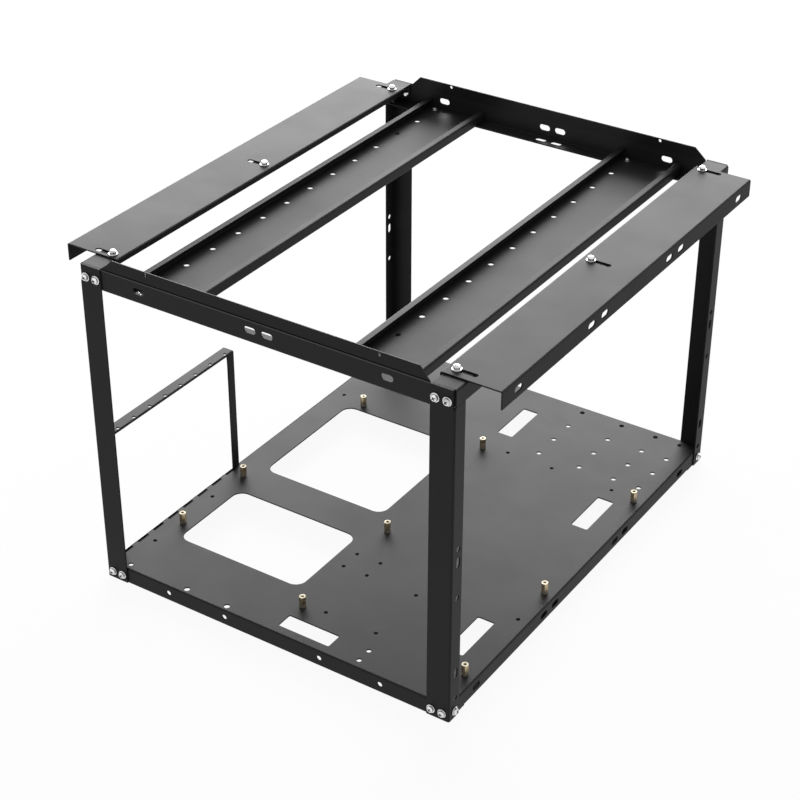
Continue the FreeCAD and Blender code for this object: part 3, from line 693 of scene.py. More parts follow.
@dataclass
class FoldedSheet:
    """A folded sheet of the frame with rounded, coated edges.

    Attributes:
        node: The solid that it stands for.
        edge: Radius of the coated cut edges.
        sharp: Angle above which an edge counts as a cut edge, in degrees.
    """

    node: str
    edge: float = 0.22 * MM
    sharp: float = 38.0
    WELD = 0.002 * MM
    SLIVER = 0.004 * MM
    FLAT = 0.6  # degrees
    CREASE = 50.0  # degrees
    WEIGHT = 60
    PROUD = 0.05  # share of the edge's radius

    def build(self, frame: dict, coat: Material) -> None:
        """Copies the solid, rounds its cut edges and coats it.

        Args:
            coat: The powder coat.
        """
        piece = Bench.add("coated_" + self.node, frame["nodes"][self.node].data.copy())
        piece.data.name = piece.name
        self.weld(piece)
        Bench.smooth(piece, self.sharp)
        self.round_edges(piece)
        piece.data.materials.clear()
        piece.data.materials.append(coat)
        self.mark(piece)
        Bench.smooth(piece, self.CREASE)
        Bench.apply(piece, "WEIGHTED_NORMAL", mode="FACE_AREA", weight=self.WEIGHT, keep_sharp=True)
        Bench.declare(piece, self.node, Slot.POWDER_COAT)

    def weld(self, piece: Object) -> None:
        """Joins the loose triangles into whole faces and divides these evenly."""
        Bench.edit(piece)
        bpy.ops.mesh.customdata_custom_splitnormals_clear()
        bpy.ops.mesh.remove_doubles(threshold=self.WELD)
        bpy.ops.mesh.dissolve_degenerate(threshold=self.SLIVER)
        bpy.ops.mesh.dissolve_limited(angle_limit=math.radians(self.FLAT))
        bpy.ops.mesh.quads_convert_to_tris(quad_method="BEAUTY", ngon_method="BEAUTY")
        Bench.done()

    def mark(self, piece: Object) -> None:
        """Gives parts of the sheet a finish of their own. A plain sheet has none."""

    def paint(self, piece: Object, coat: PowderCoat, wanted: Callable[[MeshPolygon], bool]) -> None:
        """Gives the faces that pass a test a coat of their own.

        Args:
            piece: The sheet.
            coat: The other coat.
            wanted: The test.
        """
        piece.data.materials.append(coat.make())
        index = len(piece.data.materials) - 1
        for face in piece.data.polygons:
            if wanted(face):
                face.material_index = index

    def round_edges(self, piece: Object) -> None:
        """Rounds the cut edges and draws corners that strayed back to the sheet."""
        points = [point.co for point in piece.data.vertices]
        skin = BVHTree.FromPolygons(points, [tuple(face.vertices) for face in piece.data.polygons])
        free = {"use_clamp_overlap": False, "loop_slide": False, "miter_outer": "MITER_ARC"}
        Bench.bevel(piece, self.edge, self.sharp, **free)
        near, far = self.edge * self.PROUD, self.edge / 2
        for point in piece.data.vertices:
            place, normal, _, distance = skin.find_nearest(point.co)
            outside = distance > near and (point.co - place).dot(normal) > -distance / 2
            if outside or distance > far:
                point.co = place


@dataclass
class CreasedRail(FoldedSheet):
    """An end rail whose lip leans back from a fold, with painted shade and highlight along it.

    Attributes:
        lip_start: From the end of the rail to the end of its lip.
        lip_height: Height of the lip above the fold.
        line: Height of the painted shade strip above the fold and of the painted highlight below.
        shade_line_coat: Near black, dull coat of the painted shade strip.
        highlight_coat: Lighter, shinier coat of the painted highlight strip.
    """

    lip_start: float = 19.2 * MM
    lip_height: float = 9.9 * MM
    line: float = 1.05 * MM
    # painted shade: a near black, dull strip just above the fold
    shade_line_coat: PowderCoat = PowderCoat("painted_shade_line", deep=0.0030, sheen=0.03, shift=0.44)
    # painted highlight: a lighter, shinier strip just below the fold
    highlight_coat: PowderCoat = PowderCoat("painted_highlight_fold", deep=0.0400, sheen=0.36, shift=0.58)

    def mark(self, piece: Object) -> None:
        """Paints a strip of shade just above the fold and a highlight just below it."""
        low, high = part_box(self.node)
        side = -1 if low[1] < 0 else 1
        half = (high[0] - low[0]) / 2 - self.lip_start
        middle = (low[0] + high[0]) / 2
        fold = high[2] - self.lip_height
        for level in (fold - self.line, fold, fold + self.line):
            Bench.split(piece, Axis.Z.value, level)
        for place in (middle - half, middle + half):
            Bench.split(piece, Axis.X.value, place)

        def strip(face: MeshPolygon, start: float) -> bool:
            """Says whether a face is on the outer side, just above a level."""
            outer = face.normal.y * side >= FACING and abs(face.center.x - middle) <= half
            return outer and start < face.center.z < start + self.line

        # painted shade above the fold, painted highlight below it
        self.paint(piece, self.shade_line_coat, lambda face: strip(face, fold))
        self.paint(piece, self.highlight_coat, lambda face: strip(face, fold - self.line))


@dataclass
class SlottedTray(FoldedSheet):
    """The tray, with painted shade at the slots of its left fold, where the cards' tails go down.

    Attributes:
        slot_reach: From the left face to the far side of the slots.
        slot_depth: How deep the slots go down into the fold.
        shade: Width of the strip of painted shade beside each slot.
        fold: Outer radius of the fold.
        margin: How far a face of a slot may be from its stated depth.
        gap: Ledges nearer than this belong to one slot.
        slot_shade_coat: Near black, dull coat of the painted shade.
    """

    slot_reach: float = 2.9 * MM
    slot_depth: float = 2.4 * MM
    shade: float = 1.3 * MM
    fold: float = 1.6 * MM
    margin: float = 0.05 * MM
    gap: float = 1.0 * MM
    # painted shade: a near black, dull coat for the slots, the strips beside them and the fold
    slot_shade_coat: PowderCoat = PowderCoat("painted_slot_shade", deep=0.0025, sheen=0.02, shift=0.44)

    def mark(self, piece: Object) -> None:
        """Paints shade on the slots, the strips beside them and the fold that they are cut into."""
        low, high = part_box(self.node)
        slots = self.slots(piece, low, high)
        reach = self.slot_reach + self.shade
        floor = self.slot_depth + 4 * self.margin
        Bench.split(piece, Axis.X.value, low[0] + reach)
        for place in (place for slot in slots for place in slot):
            Bench.split(piece, Axis.Y.value, place)

        def dark(face: MeshPolygon) -> bool:
            """Says whether a face gets painted shade: in or beside a slot, or on the fold."""
            inset, depth = face.center.x - low[0], high[2] - face.center.z
            beside = any(start < face.center.y < end for start, end in slots)
            return inset <= reach and depth <= floor and (beside or max(inset, depth) < self.fold)

        # painted shade on the slots, the strips beside them and the fold
        self.paint(piece, self.slot_shade_coat, dark)

    def slots(self, piece: Object, low: Vector, high: Vector) -> list[Span]:
        """Finds the slots by the ledges that they leave in the fold.

        Args:
            piece: The tray.
            low: Its lowest corner.
            high: Its highest corner.

        Returns:
            Start and end of each slot along Y.
        """
        found: list[Span] = []
        for face in piece.data.polygons:
            inset, depth = face.center.x - low[0], high[2] - face.center.z
            ledge = face.normal.z > FACING and abs(depth - self.slot_depth) < self.margin
            if ledge and inset < self.slot_reach:
                places = [piece.data.vertices[index].co.y for index in face.vertices]
                found.append((min(places), max(places)))
        slots: list[Span] = []
        for start, end in sorted(found):
            if slots and start < slots[-1][1] + self.gap:
                slots[-1] = (slots[-1][0], max(end, slots[-1][1]))
            else:
                slots.append((start, end))
        return slots


@dataclass
class FlangedPlate(FoldedSheet):
    """A sliding plate, whose upright flange faces get a duller coat: painted shade.

    Attributes:
        upright: How far a flange's normal points sideways.
        flange_shade_coat: Coat of the upright faces, with less sheen: painted shade.
    """

    upright: float = 0.95
    # painted shade: the plate's coat with less sheen, so that the upright faces look darker
    flange_shade_coat: PowderCoat = PowderCoat("painted_shade_flanges", sheen=0.13, shift=0.71)

    def mark(self, piece: Object) -> None:
        """Gives the upright flange faces the duller coat, painting shade on them."""
        self.paint(piece, self.flange_shade_coat, lambda face: abs(face.normal.x) > self.upright)


# --- fasteners


@dataclass(frozen=True)
class Station:
    """Where one fastener sits.

    Attributes:
        low: Lowest corner of its solid.
        high: Highest corner of its solid.
        axis: The direction of its axis.
        sign: +1 where its outer face looks along the axis, -1 where it looks back.
    """

    low: Vector
    high: Vector
    axis: Axis
    sign: int

    @property
    def length(self) -> float:
        """Length of the solid along its axis."""
        return (self.high - self.low)[self.axis.value]

    def matrix(self, turn: float) -> Matrix:
        """Places a fastener that was built pointing up, with its outer end at the origin.

        Args:
            turn: Turn about its own axis, in radians.

        Returns:
            The placement.
        """
        middle = (self.low + self.high) / 2
        index = self.axis.value
        middle[index] = self.high[index] if self.sign > 0 else self.low[index]
        direction = Vector((0, 0, 0))
        direction[index] = self.sign
        facing = Stations.unit(2).rotation_difference(direction).to_matrix().to_4x4()
        return Matrix.Translation(middle) @ facing @ Matrix.Rotation(turn, 4, "Z")


class Stations:
    """Reads where the separate solids of a node sit."""

    PER_METRE = 1e6  # points nearer than a step of this grid are one
    END = 2.0 * MM

    @staticmethod
    def read(solid: Object) -> list[Station]:
        """Finds each closed shell of a node, its axis and its wide end.

        Args:
            solid: The node's object.

        Returns:
            One station for each solid, in a fixed order.
        """
        found = [Stations.describe(points) for points in Stations.shells(solid.data)]
        return sorted(found, key=lambda station: [round(value, 4) for value in station.low])

    @staticmethod
    def shells(mesh: Mesh) -> list[list[Vector]]:
        """Groups a mesh's points into its closed shells.

        Args:
            mesh: The node's mesh, with loose triangles.

        Returns:
            The points of each shell.
        """
        scale = Stations.PER_METRE
        keys = [tuple(round(value * scale) for value in point.co) for point in mesh.vertices]
        parent = {key: key for key in keys}

        def root(key: tuple) -> tuple:
            """Follows a key to the one that stands for its shell."""
            while parent[key] != key:
                parent[key] = parent[parent[key]]
                key = parent[key]
            return key

        for face in mesh.polygons:
            corners = [keys[i] for i in face.vertices]
            for corner in corners[1:]:
                parent[root(corner)] = root(corners[0])
        groups: dict[tuple, list[Vector]] = {}
        for key in parent:
            groups.setdefault(root(key), []).append(Vector(key) / scale)
        return list(groups.values())

    @staticmethod
    def describe(points: list[Vector]) -> Station:
        """Works out a shell's axis and its wide end.

        Args:
            points: The shell's points.

        Returns:
            Its station.
        """
        low = Vector([min(p[i] for p in points) for i in range(3)])
        high = Vector([max(p[i] for p in points) for i in range(3)])
        size = high - low
        gaps = [abs(size[(i + 1) % 3] - size[(i + 2) % 3]) for i in range(3)]
        axis = gaps.index(min(gaps))
        middle, along = (low + high) / 2, Stations.unit(axis)
        reach = {}
        for sign, level in ((1, high[axis]), (-1, low[axis])):
            near = [p for p in points if abs(p[axis] - level) < Stations.END]
            reach[sign] = max((p - middle - (p - middle)[axis] * along).length for p in near)
        return Station(low, high, Axis(axis), 1 if reach[1] >= reach[-1] else -1)

    @staticmethod
    def unit(index: int) -> Vector:
        """Gives the unit vector of an axis."""
        return Vector([1.0 if i == index else 0.0 for i in range(3)])


def crest(point: Vector, height: float, pitch: float) -> float:
    """Says how near a point of a thread is to the thread's crest.

    Args:
        point: Where it is about the Z axis.
        height: Its height along the thread.
        pitch: The thread's pitch.

    Returns:
        1 on the crest and 0 at the bottom of the groove.
    """
    phase = (math.atan2(point.y, point.x) / (2 * math.pi) + height / pitch) % 1.0
    return 1.0 - abs(2 * phase - 1.0)


def turn_to(point: MeshVertex, radius: float) -> None:
    """Moves a point to a distance from the Z axis, as on a lathe."""
    factor = radius / math.hypot(point.co.x, point.co.y)
    point.co.x *= factor
    point.co.y *= factor


@dataclass
class Fastener:
    """A small part that is modelled once and copied to where its solids are.

    Attributes:
        node: The solids that the copies stand for.
        prefix: First word of the finished object's name.
        slot: The record's material slot.
    """

    node: str
    prefix: ClassVar[str] = "plated"
    slot: ClassVar[Slot] = Slot.ZINC
    CREASE = 32.0  # degrees
    CUTS_PER_TURN = 6
    LENGTH_STEP = 0.05 * MM

    def build(self, frame: dict, metals: Sequence[Material]) -> Object:
        """Models one fastener for each length and copies it to its stations.

        Args:
            metals: The finishes, the main one first.

        Returns:
            All fasteners of the node as one object.
        """
        chance = random.Random(self.node)
        masters: dict[int, Object] = {}
        copies = []
        for station in Stations.read(frame["nodes"][self.node]):
            key = round(station.length / self.LENGTH_STEP)
            if key not in masters:
                masters[key] = self.model(station.length)
                for metal in metals:
                    masters[key].data.materials.append(metal)
                self.dress(masters[key])
            copies.append(Bench.add(self.node, masters[key].data.copy()))
            copies[-1].matrix_world = station.matrix(self.turn_of(station, chance))
        for master in masters.values():
            bpy.data.objects.remove(master, do_unlink=True)
        piece = Bench.join(copies, f"{self.prefix}_{self.node}")
        Bench.declare(piece, self.node, self.slot)
        return piece

    def model(self, length: float) -> Object:
        """Models one fastener along Z, its outer end at the origin."""
        raise NotImplementedError

    def dress(self, master: Object) -> None:
        """Gives parts of the fastener their own finish. A plain one has none."""

    def turn_of(self, station: Station, chance: random.Random) -> float:
        """Gives a copy's turn about its axis in radians. A round one needs none."""
        return 0.0


@dataclass
class PanScrew(Fastener):
    """A zinc plated pan head screw with a cross recess and a rolled thread.

    Attributes:
        head: Diameter of the head.
        height: Height of the head.
        shank: Outer diameter of the thread.
        pitch: Pitch of the thread.
        sides: Number of sides of the round forms.
        form: The head's half section.
        drive: How far the recess reaches, as a share of the head's driven part.
    """

    head: float = 7.4 * MM
    height: float = 2.9 * MM
    shank: float = 4.0 * MM
    pitch: float = 0.7 * MM
    sides: int = 32
    form: HeadForm = HeadForm.FLANGED
    drive: float = 0.33
    UNDER_EDGE = 0.18 * MM
    AT_SHANK = 0.6
    RECESS_REACH = 0.7
    RECESS_FLOOR = 0.8
    SKIN = 0.06 * MM
    RIM = 0.965
    SHOULDER = (0.955, 1.13)
    FLANK = 1.35
    LAND = 0.1
    GROOVE = 0.42 * MM
    TIP = (0.5 * MM, 0.35 * MM)
    WELL_BELOW = 0.01 * MM
    ARM = 0.29
    PUNCH_DEPTH = 0.62
    PUNCH_TAPER = 0.42
    PUNCH_TOP = 0.6 * MM

    def turn_of(self, station: Station, chance: random.Random) -> float:
        """Leaves each screw where its driver happened to stop."""
        return chance.uniform(0, math.pi / 2)

    def dress(self, master: Object) -> None:
        """Paints shade in the recess with the second metal and on the edges of the head with the
        third.
        """
        crown = self.form.crown
        near, far = (share * crown for share in self.SHOULDER)
        for face in master.data.polygons:
            share = math.hypot(face.center.x, face.center.y) / (self.head / 2)
            level = face.center.z
            below = -self.RECESS_FLOOR * self.height < level < self.dome(share) - self.SKIN
            # painted shade in the recess
            if share < self.RECESS_REACH * crown and below:
                face.material_index = 1
            # painted shade on the rim and the shoulder of the head
            elif level > -self.height and (share > self.RIM or near < share < far):
                face.material_index = 2

    def dome(self, share: float) -> float:
        """Gives the height of the head's surface.

        Args:
            share: Distance from the axis as a share of the head's radius.

        Returns:
            Height at that distance, 0 at the top of the head.
        """
        outer, rise = self.form.value[0]
        for inner, top in self.form.value[1:]:
            if share >= inner:
                part = (min(share, outer) - inner) / (outer - inner)
                return (top + (rise - top) * part - 1.0) * self.height
            outer, rise = inner, top
        return 0.0

    def model(self, length: float) -> Object:
        """Models one screw along Z, its head's top at the origin.

        Args:
            length: Whole length with the head.

        Returns:
            The screw.
        """
        screw = self.turned_head()
        self.thread(screw, length - self.height)
        Bench.outward(screw)
        Bench.carve(screw, self.recess_punch())
        Bench.smooth(screw, self.CREASE)
        return screw

    def turned_head(self) -> Object:
        """Raises the domed head from its rim.

        Returns:
            The head with a closed underside.
        """
        under = -self.height
        level = under + self.height * self.form.value[0][1]
        head = Bench.round_bar(self.head / 2, under, level, self.sides, "pan_screw")
        Bench.pick_faces(head, lambda face: face.normal.z > FACING)
        width = 1.0
        for share, rise in self.form.value[1:]:
            height = under + self.height * rise
            Bench.extrude((0, 0, height - level))
            Bench.resize(share / width)
            level, width = height, share
        Bench.done()
        ring = under + Bench.DOUBLES
        Bench.pick_edges(head, lambda a, b: max(a.z, b.z) < ring)
        bpy.ops.mesh.bevel(offset=self.UNDER_EDGE, segments=2, affect="EDGES")
        Bench.done()
        return head

    def thread(self, screw: Object, reach: float) -> None:
        """Draws the shank out of the underside and rolls its thread.

        Args:
            screw: The head.
            reach: Length of the shank.
        """
        under = -self.height
        count = Bench.pick_faces(
            screw, lambda face: face.normal.z < -FACING and len(face.vertices) >= self.sides
        )
        assert count == 1, "the underside is one face"
        inner = self.head / 2 - self.UNDER_EDGE
        bpy.ops.mesh.inset(thickness=(inner - self.shank / 2) * math.cos(math.pi / self.sides))
        Bench.extrude((0, 0, -reach))
        Bench.done()
        far, least = self.shank * self.AT_SHANK, reach * LONG
        Bench.pick_edges(screw, lambda a, b: abs(a.z - b.z) > least and math.hypot(a.x, a.y) < far)
        bpy.ops.mesh.subdivide(number_cuts=round(reach / self.pitch * self.CUTS_PER_TURN))
        Bench.done()
        for point in screw.data.vertices:
            depth = point.co.z - under
            if depth < -self.WELL_BELOW and math.hypot(point.co.x, point.co.y) > self.shank / 4:
                ridge = crest(point.co, depth, self.pitch)
                turn_to(point, self.thread_radius(ridge, depth + reach))

    def thread_radius(self, ridge: float, left: float) -> float:
        """Gives the thread's radius at one point.

        Args:
            ridge: 1 on the thread's crest and 0 at the bottom of its groove.
            left: How far it is to the screw's end.

        Returns:
            Distance from the axis.
        """
        groove = min(1.0, max(0.0, self.FLANK * (1 - ridge) - self.LAND)) * self.GROOVE
        length, inset = self.TIP
        return self.shank / 2 - max(groove, max(0.0, 1.0 - left / length) * inset)

    def recess_punch(self) -> Object:
        """Makes the tapered cross that punches the recess.

        Returns:
            The punch, from above the head down into it.
        """
        Bench.clear()
        reach = self.drive * self.head * self.form.crown
        arm = self.ARM * reach
        depth = self.PUNCH_DEPTH * self.height
        bpy.ops.mesh.primitive_cube_add(size=1, location=(0, 0, (self.PUNCH_TOP - depth) / 2))
        punch = bpy.context.object
        punch.scale = (2 * arm, 2 * arm, self.PUNCH_TOP + depth)
        Bench.settle()
        for way in (Vector((1, 0, 0)), Vector((0, 1, 0)), Vector((-1, 0, 0)), Vector((0, -1, 0))):
            Bench.pick_faces(
                punch, lambda face: face.normal.dot(way) > FACING and face.center.length < 2 * arm
            )
            Bench.extrude(way * (reach - arm))
            Bench.done()
        for point in punch.data.vertices:
            if point.co.z < 0:
                point.co.x *= self.PUNCH_TAPER
                point.co.y *= self.PUNCH_TAPER
        Bench.outward(punch)
        return punch


@dataclass
class HexPiece(Fastener):
    """A hexagonal piece with chamfered ends and a tapped bore. As it stands, a nut.

    Attributes:
        across: Distance across the flats.
        chamfer: How far the ends are turned down.
        bore: Diameter of the thread's crests.
        bore_depth: Depth of the bore from the outer end, or None to go through.
        pitch: Pitch of the thread.
    """

    across: float = 7.0 * MM
    chamfer: float = 0.5 * MM
    bore: float = 4.2 * MM
    bore_depth: float | None = None
    pitch: float = 0.7 * MM
    BLANK_OVER = 1.02
    CHAMFER_RUN = 1.25
    TAP_SIDES = 28
    TAP_TOP = 0.4 * MM
    THREAD_DEPTH = 0.5
    SINK = 0.15 * MM
    SINK_SLOPE = 0.9

    def turn_of(self, station: Station, chance: random.Random) -> float:
        """Turns a piece so that its corners point as its solid's do."""
        spans = [(station.high - station.low)[i] for i in range(3) if i != station.axis.value]
        return 0.0 if spans[0] >= spans[1] else math.pi / 2

    def model(self, length: float) -> Object:
        """Models one piece along Z, its outer end at the origin and a corner along X.

        Args:
            length: Height of the piece.

        Returns:
            The hexagonal piece.
        """
        corner = self.across / math.sqrt(3)
        piece = Bench.round_bar(corner, -length, 0, 6, "hex_piece")
        piece.rotation_euler.z = math.pi / 2
        Bench.only(piece)
        Bench.settle()
        Bench.carve(piece, self.turned_blank(length, corner), "INTERSECT")
        Bench.carve(piece, self.tap(length))
        Bench.smooth(piece, self.CREASE)
        return piece

    def turned_blank(self, length: float, corner: float) -> Object:
        """Makes the round blank whose chamfered ends trim the hexagon's corners.

        Args:
            length: Height of the piece.
            corner: Distance from the axis to a corner.

        Returns:
            The blank.
        """
        blank = Bench.round_bar(corner * self.BLANK_OVER, -length, 0, ROUND, "blank")
        high, low = -Bench.DOUBLES, -length + Bench.DOUBLES
        Bench.pick_edges(blank, lambda a, b: min(a.z, b.z) > high or max(a.z, b.z) < low)
        bpy.ops.mesh.bevel(offset=self.chamfer * self.CHAMFER_RUN, segments=1, affect="EDGES")
        Bench.done()
        return blank

    def tap(self, length: float) -> Object:
        """Makes the tap that cuts the bore, its thread and its countersink.

        Args:
            length: Height of the piece.

        Returns:
            The tap.
        """
        depth = self.bore_depth if self.bore_depth is not None else length + self.TAP_TOP
        tap = Bench.round_bar(self.bore / 2, -depth, self.TAP_TOP, self.TAP_SIDES, "tap")
        Bench.pick_edges(tap, lambda a, b: abs(a.z - b.z) > depth * LONG)
        cuts = (depth + self.TAP_TOP) / self.pitch * self.CUTS_PER_TURN
        bpy.ops.mesh.subdivide(number_cuts=round(cuts))
        Bench.done()
        for point in tap.data.vertices:
            ridge = crest(point.co, point.co.z, self.pitch) * self.pitch * self.THREAD_DEPTH
            flare = max(0.0, self.SINK + point.co.z) * self.SINK_SLOPE
            turn_to(point, self.bore / 2 + max(ridge, flare))
        Bench.outward(tap)
        return tap


@dataclass
class Standoff(HexPiece):
    """A brass standoff that carries the board, with a plainer upper end."""

    across: float = 5.5 * MM
    chamfer: float = 0.4 * MM
    bore: float = 2.5 * MM
    bore_depth: float | None = 8.0 * MM
    pitch: float = 0.5 * MM
    prefix: ClassVar[str] = "brass"
    slot: ClassVar[Slot] = Slot.BRASS
    UPWARD = 0.4

    def build(self, frame: dict, metals: Sequence[Material]) -> Object:
        """Builds the standoffs and gives their upper ends the second metal."""
        piece = super().build(frame, metals)
        for face in piece.data.polygons:
            face.material_index = int(face.normal.z > self.UPWARD)
        return piece


@dataclass
class FlatWasher(Fastener):
    """A plain washer under a clamping screw.

    Attributes:
        outer: Outer diameter.
        inner: Inner diameter.
        rounding: Radius of the punched edges.
    """

    outer: float = 7.6 * MM
    inner: float = 4.4 * MM
    rounding: float = 0.15 * MM
    SHARP = 50.0  # degrees

    def model(self, length: float) -> Object:
        """Models one washer, its top at the origin.

        Args:
            length: Thickness of the washer.

        Returns:
            The washer.
        """
        ring = Bench.round_bar(self.outer / 2, -length, 0, ROUND, "washer")
        Bench.carve(ring, Bench.round_bar(self.inner / 2, -2 * length, length, ROUND, "punch"))
        Bench.bevel(ring, self.rounding, self.SHARP)
        Bench.smooth(ring, self.SHARP)
        return ring


# --- the chassis


@dataclass
class SheetGroup:
    """Sheets that were coated together and share one finish.

    Attributes:
        nodes: The solids of its sheets, with spaces between them.
        coat: Their powder coat.
        form: The kind of sheet.
    """

    nodes: str
    coat: PowderCoat
    form: type[FoldedSheet] = FoldedSheet

    def build(self, frame: dict) -> None:
        material = self.coat.make()
        for node in self.nodes.split():
            self.form(node).build(frame, material)


@dataclass
class Hardware:
    """All zinc plated screws, nuts and washers, and the brass standoffs.

    Attributes:
        zinc: Plating of the screws, nuts and washers.
        recess: Darker zinc, painted shade in a head's recess.
        rim: Darker zinc, painted shade on the edges of a head.
        dull: Darker zinc of the screws that lie in the card rails: painted shade.
        brass: Sides of the standoffs.
        brass_end: Their upper ends.
    """

    zinc: PlatedMetal = PlatedMetal(
        "zinc_plating",
        (0.90, 0.90, 0.905),
        (0.50, 0.50, 0.495),
        gloss=(0.16, 0.30),
        lines=(1500.0,) * 3,
    )
    # painted shade: darker zinc for the recess
    recess: PlatedMetal = PlatedMetal(
        "zinc_recess_shade", (0.16,) * 3, (0.05,) * 3, gloss=(0.30, 0.45), lines=(1500.0,) * 3
    )
    # painted shade: darker zinc for the rim and shoulder
    rim: PlatedMetal = PlatedMetal(
        "zinc_rim_shade", (0.60,) * 3, (0.30,) * 3, gloss=(0.24, 0.40), lines=(900.0,) * 3
    )
    # painted shade: darker zinc for the screws down in the card rails
    dull: PlatedMetal = PlatedMetal(
        "zinc_in_shade", (0.46,) * 3, (0.26,) * 3, gloss=(0.34, 0.50), lines=(1200.0,) * 3
    )
    brass: PlatedMetal = PlatedMetal(
        "turned_brass",
        (0.64, 0.52, 0.34),
        (0.34, 0.27, 0.16),
        gloss=(0.30, 0.44),
        lines=(300.0, 300.0, 9000.0),
        metallic=0.82,
        # painted light at the standoffs' feet, up to these heights
        fade=(14.4 * MM, 19.5 * MM),
    )
    brass_end: PlatedMetal = PlatedMetal(
        "brass_end",
        (0.34, 0.31, 0.24),
        (0.20, 0.175, 0.125),
        gloss=(0.40, 0.55),
        lines=(600.0,) * 3,
    )

    def build(self, frame: dict) -> None:
        zinc, recess = self.zinc.make(), self.recess.make()
        rim, dull = self.rim.make(), self.dull.make()
        bright = (zinc, recess, rim)
        plate_head = {"head": 5.8 * MM, "form": HeadForm.PLAIN, "drive": 0.20}
        small = {"head": 5.2 * MM, "height": 2.4 * MM, "shank": 3.0 * MM, "pitch": 0.5 * MM}
        PanScrew("corner_screws").build(frame, bright)
        PanScrew("tray_screws").build(frame, bright)
        PanScrew("plate_screws", **plate_head).build(frame, bright)
        PanScrew("bracket_screw").build(frame, bright)
        # painted shade: the card rail screws get the darker zinc throughout
        PanScrew("card_rail_screws", **small).build(frame, (dull, recess, dull))
        HexPiece("plate_nuts").build(frame, (zinc,))
        FlatWasher("plate_washers").build(frame, (zinc,))
        Standoff("standoffs").build(frame, (self.brass.make(), self.brass_end.make()))


@dataclass
class Chassis:
    """The whole chassis, in the order in which it is dressed.

    Attributes:
        groups: The folded sheets, by their finish.
        hardware: The fasteners and standoffs.
    """

    # Sheen differs from group to group (0.18 to 0.20) so that each group of sheets looks lighter or
    # darker: lit and shaded copies of one powder coat, painted light and shade.
    groups: tuple[SheetGroup, ...] = (
        SheetGroup("base_tray", PowderCoat("tray_coat", sheen=0.195, shift=0.13), SlottedTray),
        SheetGroup(
            "post_front_left post_front_right post_back_left post_back_right"
            " side_rail_left side_rail_right",
            PowderCoat("frame_coat", sheen=0.18),
        ),
        SheetGroup(
            "end_rail_front end_rail_back", PowderCoat("end_rail_coat", shift=0.29), CreasedRail
        ),
        SheetGroup(
            "card_rail_left card_rail_right", PowderCoat("card_rail_coat", sheen=0.185, shift=0.37)
        ),
        SheetGroup(
            "top_plate_left top_plate_right", PowderCoat("plate_coat", shift=0.71), FlangedPlate
        ),
        SheetGroup("slot_bracket", PowderCoat("bracket_coat", shift=0.52)),
    )
    hardware: Hardware = field(default_factory=Hardware)

    def build(self, frame: dict) -> None:
        for group in self.groups:
            group.build(frame)
        self.hardware.build(frame)


# --- studio


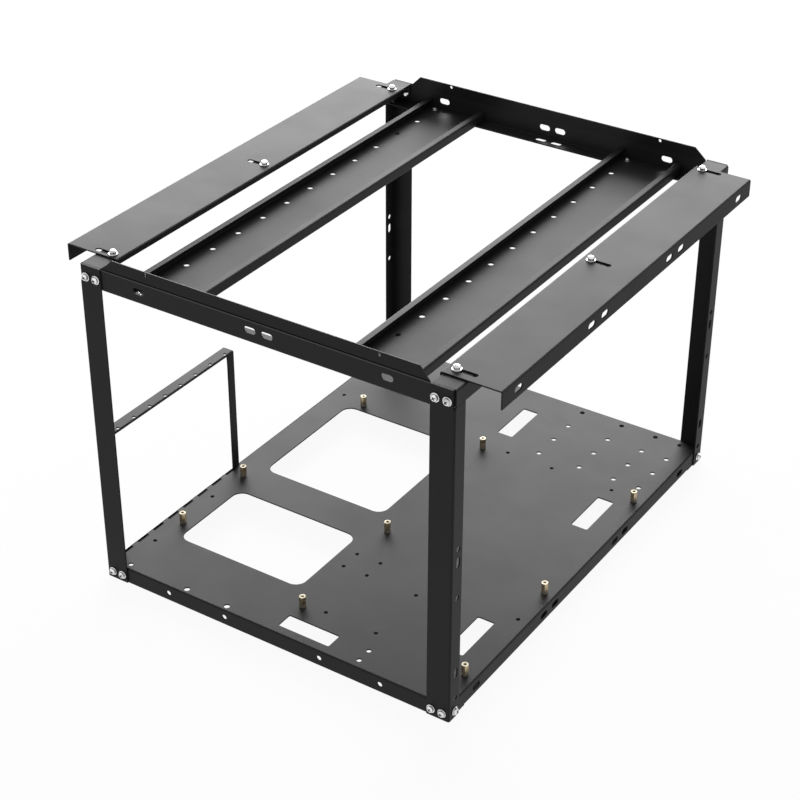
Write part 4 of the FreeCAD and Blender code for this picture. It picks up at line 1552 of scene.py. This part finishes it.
@dataclass
class Studio:
    """The pale floor, the soft light and the camera.

    Attributes:
        camera_place: Where the camera stands.
        camera_turn: Its turn in degrees, in XYZ order.
        lens: Focal length for the sensor below.
        sensor: Width of the camera's sensor in mm.
        view_range: Nearest and furthest distance that the camera sees.
        softbox_way: Direction from the object to the large softbox.
        softbox_aim: The point that the softbox looks at.
        softbox_distance: From that point to the softbox.
        softbox_size: Width and height of the softbox.
        softbox_glow: Radiance of the softbox, where 1 is white.
        fill: Strength of the even light from all around.
        floor_size: Length of the floor's sides.
        floor_tone: Base value of the floor.
        floor_glow: Share of the floor's own plain white in what the camera sees.
    """

    camera_place: Triple = (0.75386, -1.17828, 0.98965)
    camera_turn: Triple = (58.0948, -0.1159, 33.3266)
    lens: float = 87.137
    sensor: float = 36.0
    view_range: Span = (0.05, 50.0)
    softbox_way: Triple = (-0.515, 0.786, 0.342)
    softbox_aim: Triple = (0.0, 0.0, 0.15)
    softbox_distance: float = 3.2
    softbox_size: Span = (3.6, 2.2)
    softbox_glow: float = 9.0
    fill: float = 0.45
    floor_size: float = 60.0
    floor_tone: float = 0.86
    floor_glow: float = 0.93
    WHITE = (1, 1, 1, 1)

    def build(self) -> None:
        """Sets up the whole studio."""
        self.set_camera()
        self.set_world()
        self.set_softbox()
        self.set_floor()
        bpy.context.scene.view_settings.view_transform = "Standard"
        log.info("studio: camera, softbox, floor")

    def set_camera(self) -> None:
        """Places the camera at the photograph's viewing angle."""
        data = bpy.data.cameras.new("camera")
        data.lens = self.lens
        data.sensor_width = self.sensor
        data.clip_start, data.clip_end = self.view_range
        camera = Bench.add("camera", data)
        camera.location = self.camera_place
        camera.rotation_euler = [math.radians(angle) for angle in self.camera_turn]
        bpy.context.scene.camera = camera

    def set_world(self) -> None:
        """Gives even light, and plain white to the camera and to reflections."""
        world = bpy.data.worlds.new("studio")
        bpy.context.scene.world = world
        graph = Graph.of(world)
        soft = graph.add("ShaderNodeBackground", Color=self.WHITE, Strength=self.fill)
        white = graph.add("ShaderNodeBackground", Color=self.WHITE, Strength=1.0)
        mix = graph.add("ShaderNodeMixShader")
        surface = graph.result(mix, graph.plainly_seen(), soft.outputs[0], white.outputs[0])
        graph.add("ShaderNodeOutputWorld", Surface=surface)

    def set_softbox(self) -> None:
        """Hangs the large softbox behind the object, on the left."""
        data = bpy.data.lights.new("softbox", "AREA")
        data.shape = "RECTANGLE"
        data.size, data.size_y = self.softbox_size
        data.energy = self.softbox_glow * math.pi * data.size * data.size_y
        lamp = Bench.add("softbox", data)
        way = Vector(self.softbox_way).normalized()
        lamp.location = Vector(self.softbox_aim) + way * self.softbox_distance
        lamp.rotation_euler = way.to_track_quat("Z", "Y").to_euler()

    def set_floor(self) -> None:
        """Lays the pale floor, which keeps the object's shadow."""
        Bench.clear()
        bpy.ops.mesh.primitive_plane_add(size=self.floor_size, location=(0, 0, 0))
        floor = bpy.context.object
        floor.name = "floor"
        material = bpy.data.materials.new("pale_floor")
        graph = Graph.of(material)
        matte = graph.add("ShaderNodeBsdfDiffuse", Color=(*(self.floor_tone,) * 3, 1))
        glow = graph.add("ShaderNodeEmission", Color=self.WHITE, Strength=1.0)
        share = graph.math("MULTIPLY", graph.plainly_seen(), self.floor_glow)
        mix = graph.add("ShaderNodeMixShader")
        surface = graph.result(mix, share, matte.outputs[0], glow.outputs[0])
        graph.add("ShaderNodeOutputMaterial", Surface=surface)
        floor.data.materials.append(material)


def main() -> None:
    """Builds the scene."""
    logging.basicConfig(level=logging.INFO, format="%(name)s: %(message)s", force=True)
    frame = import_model()
    Studio().build()
    Chassis().build(frame)
    log.info("boxes written")


if __name__ == "__main__":
    main()
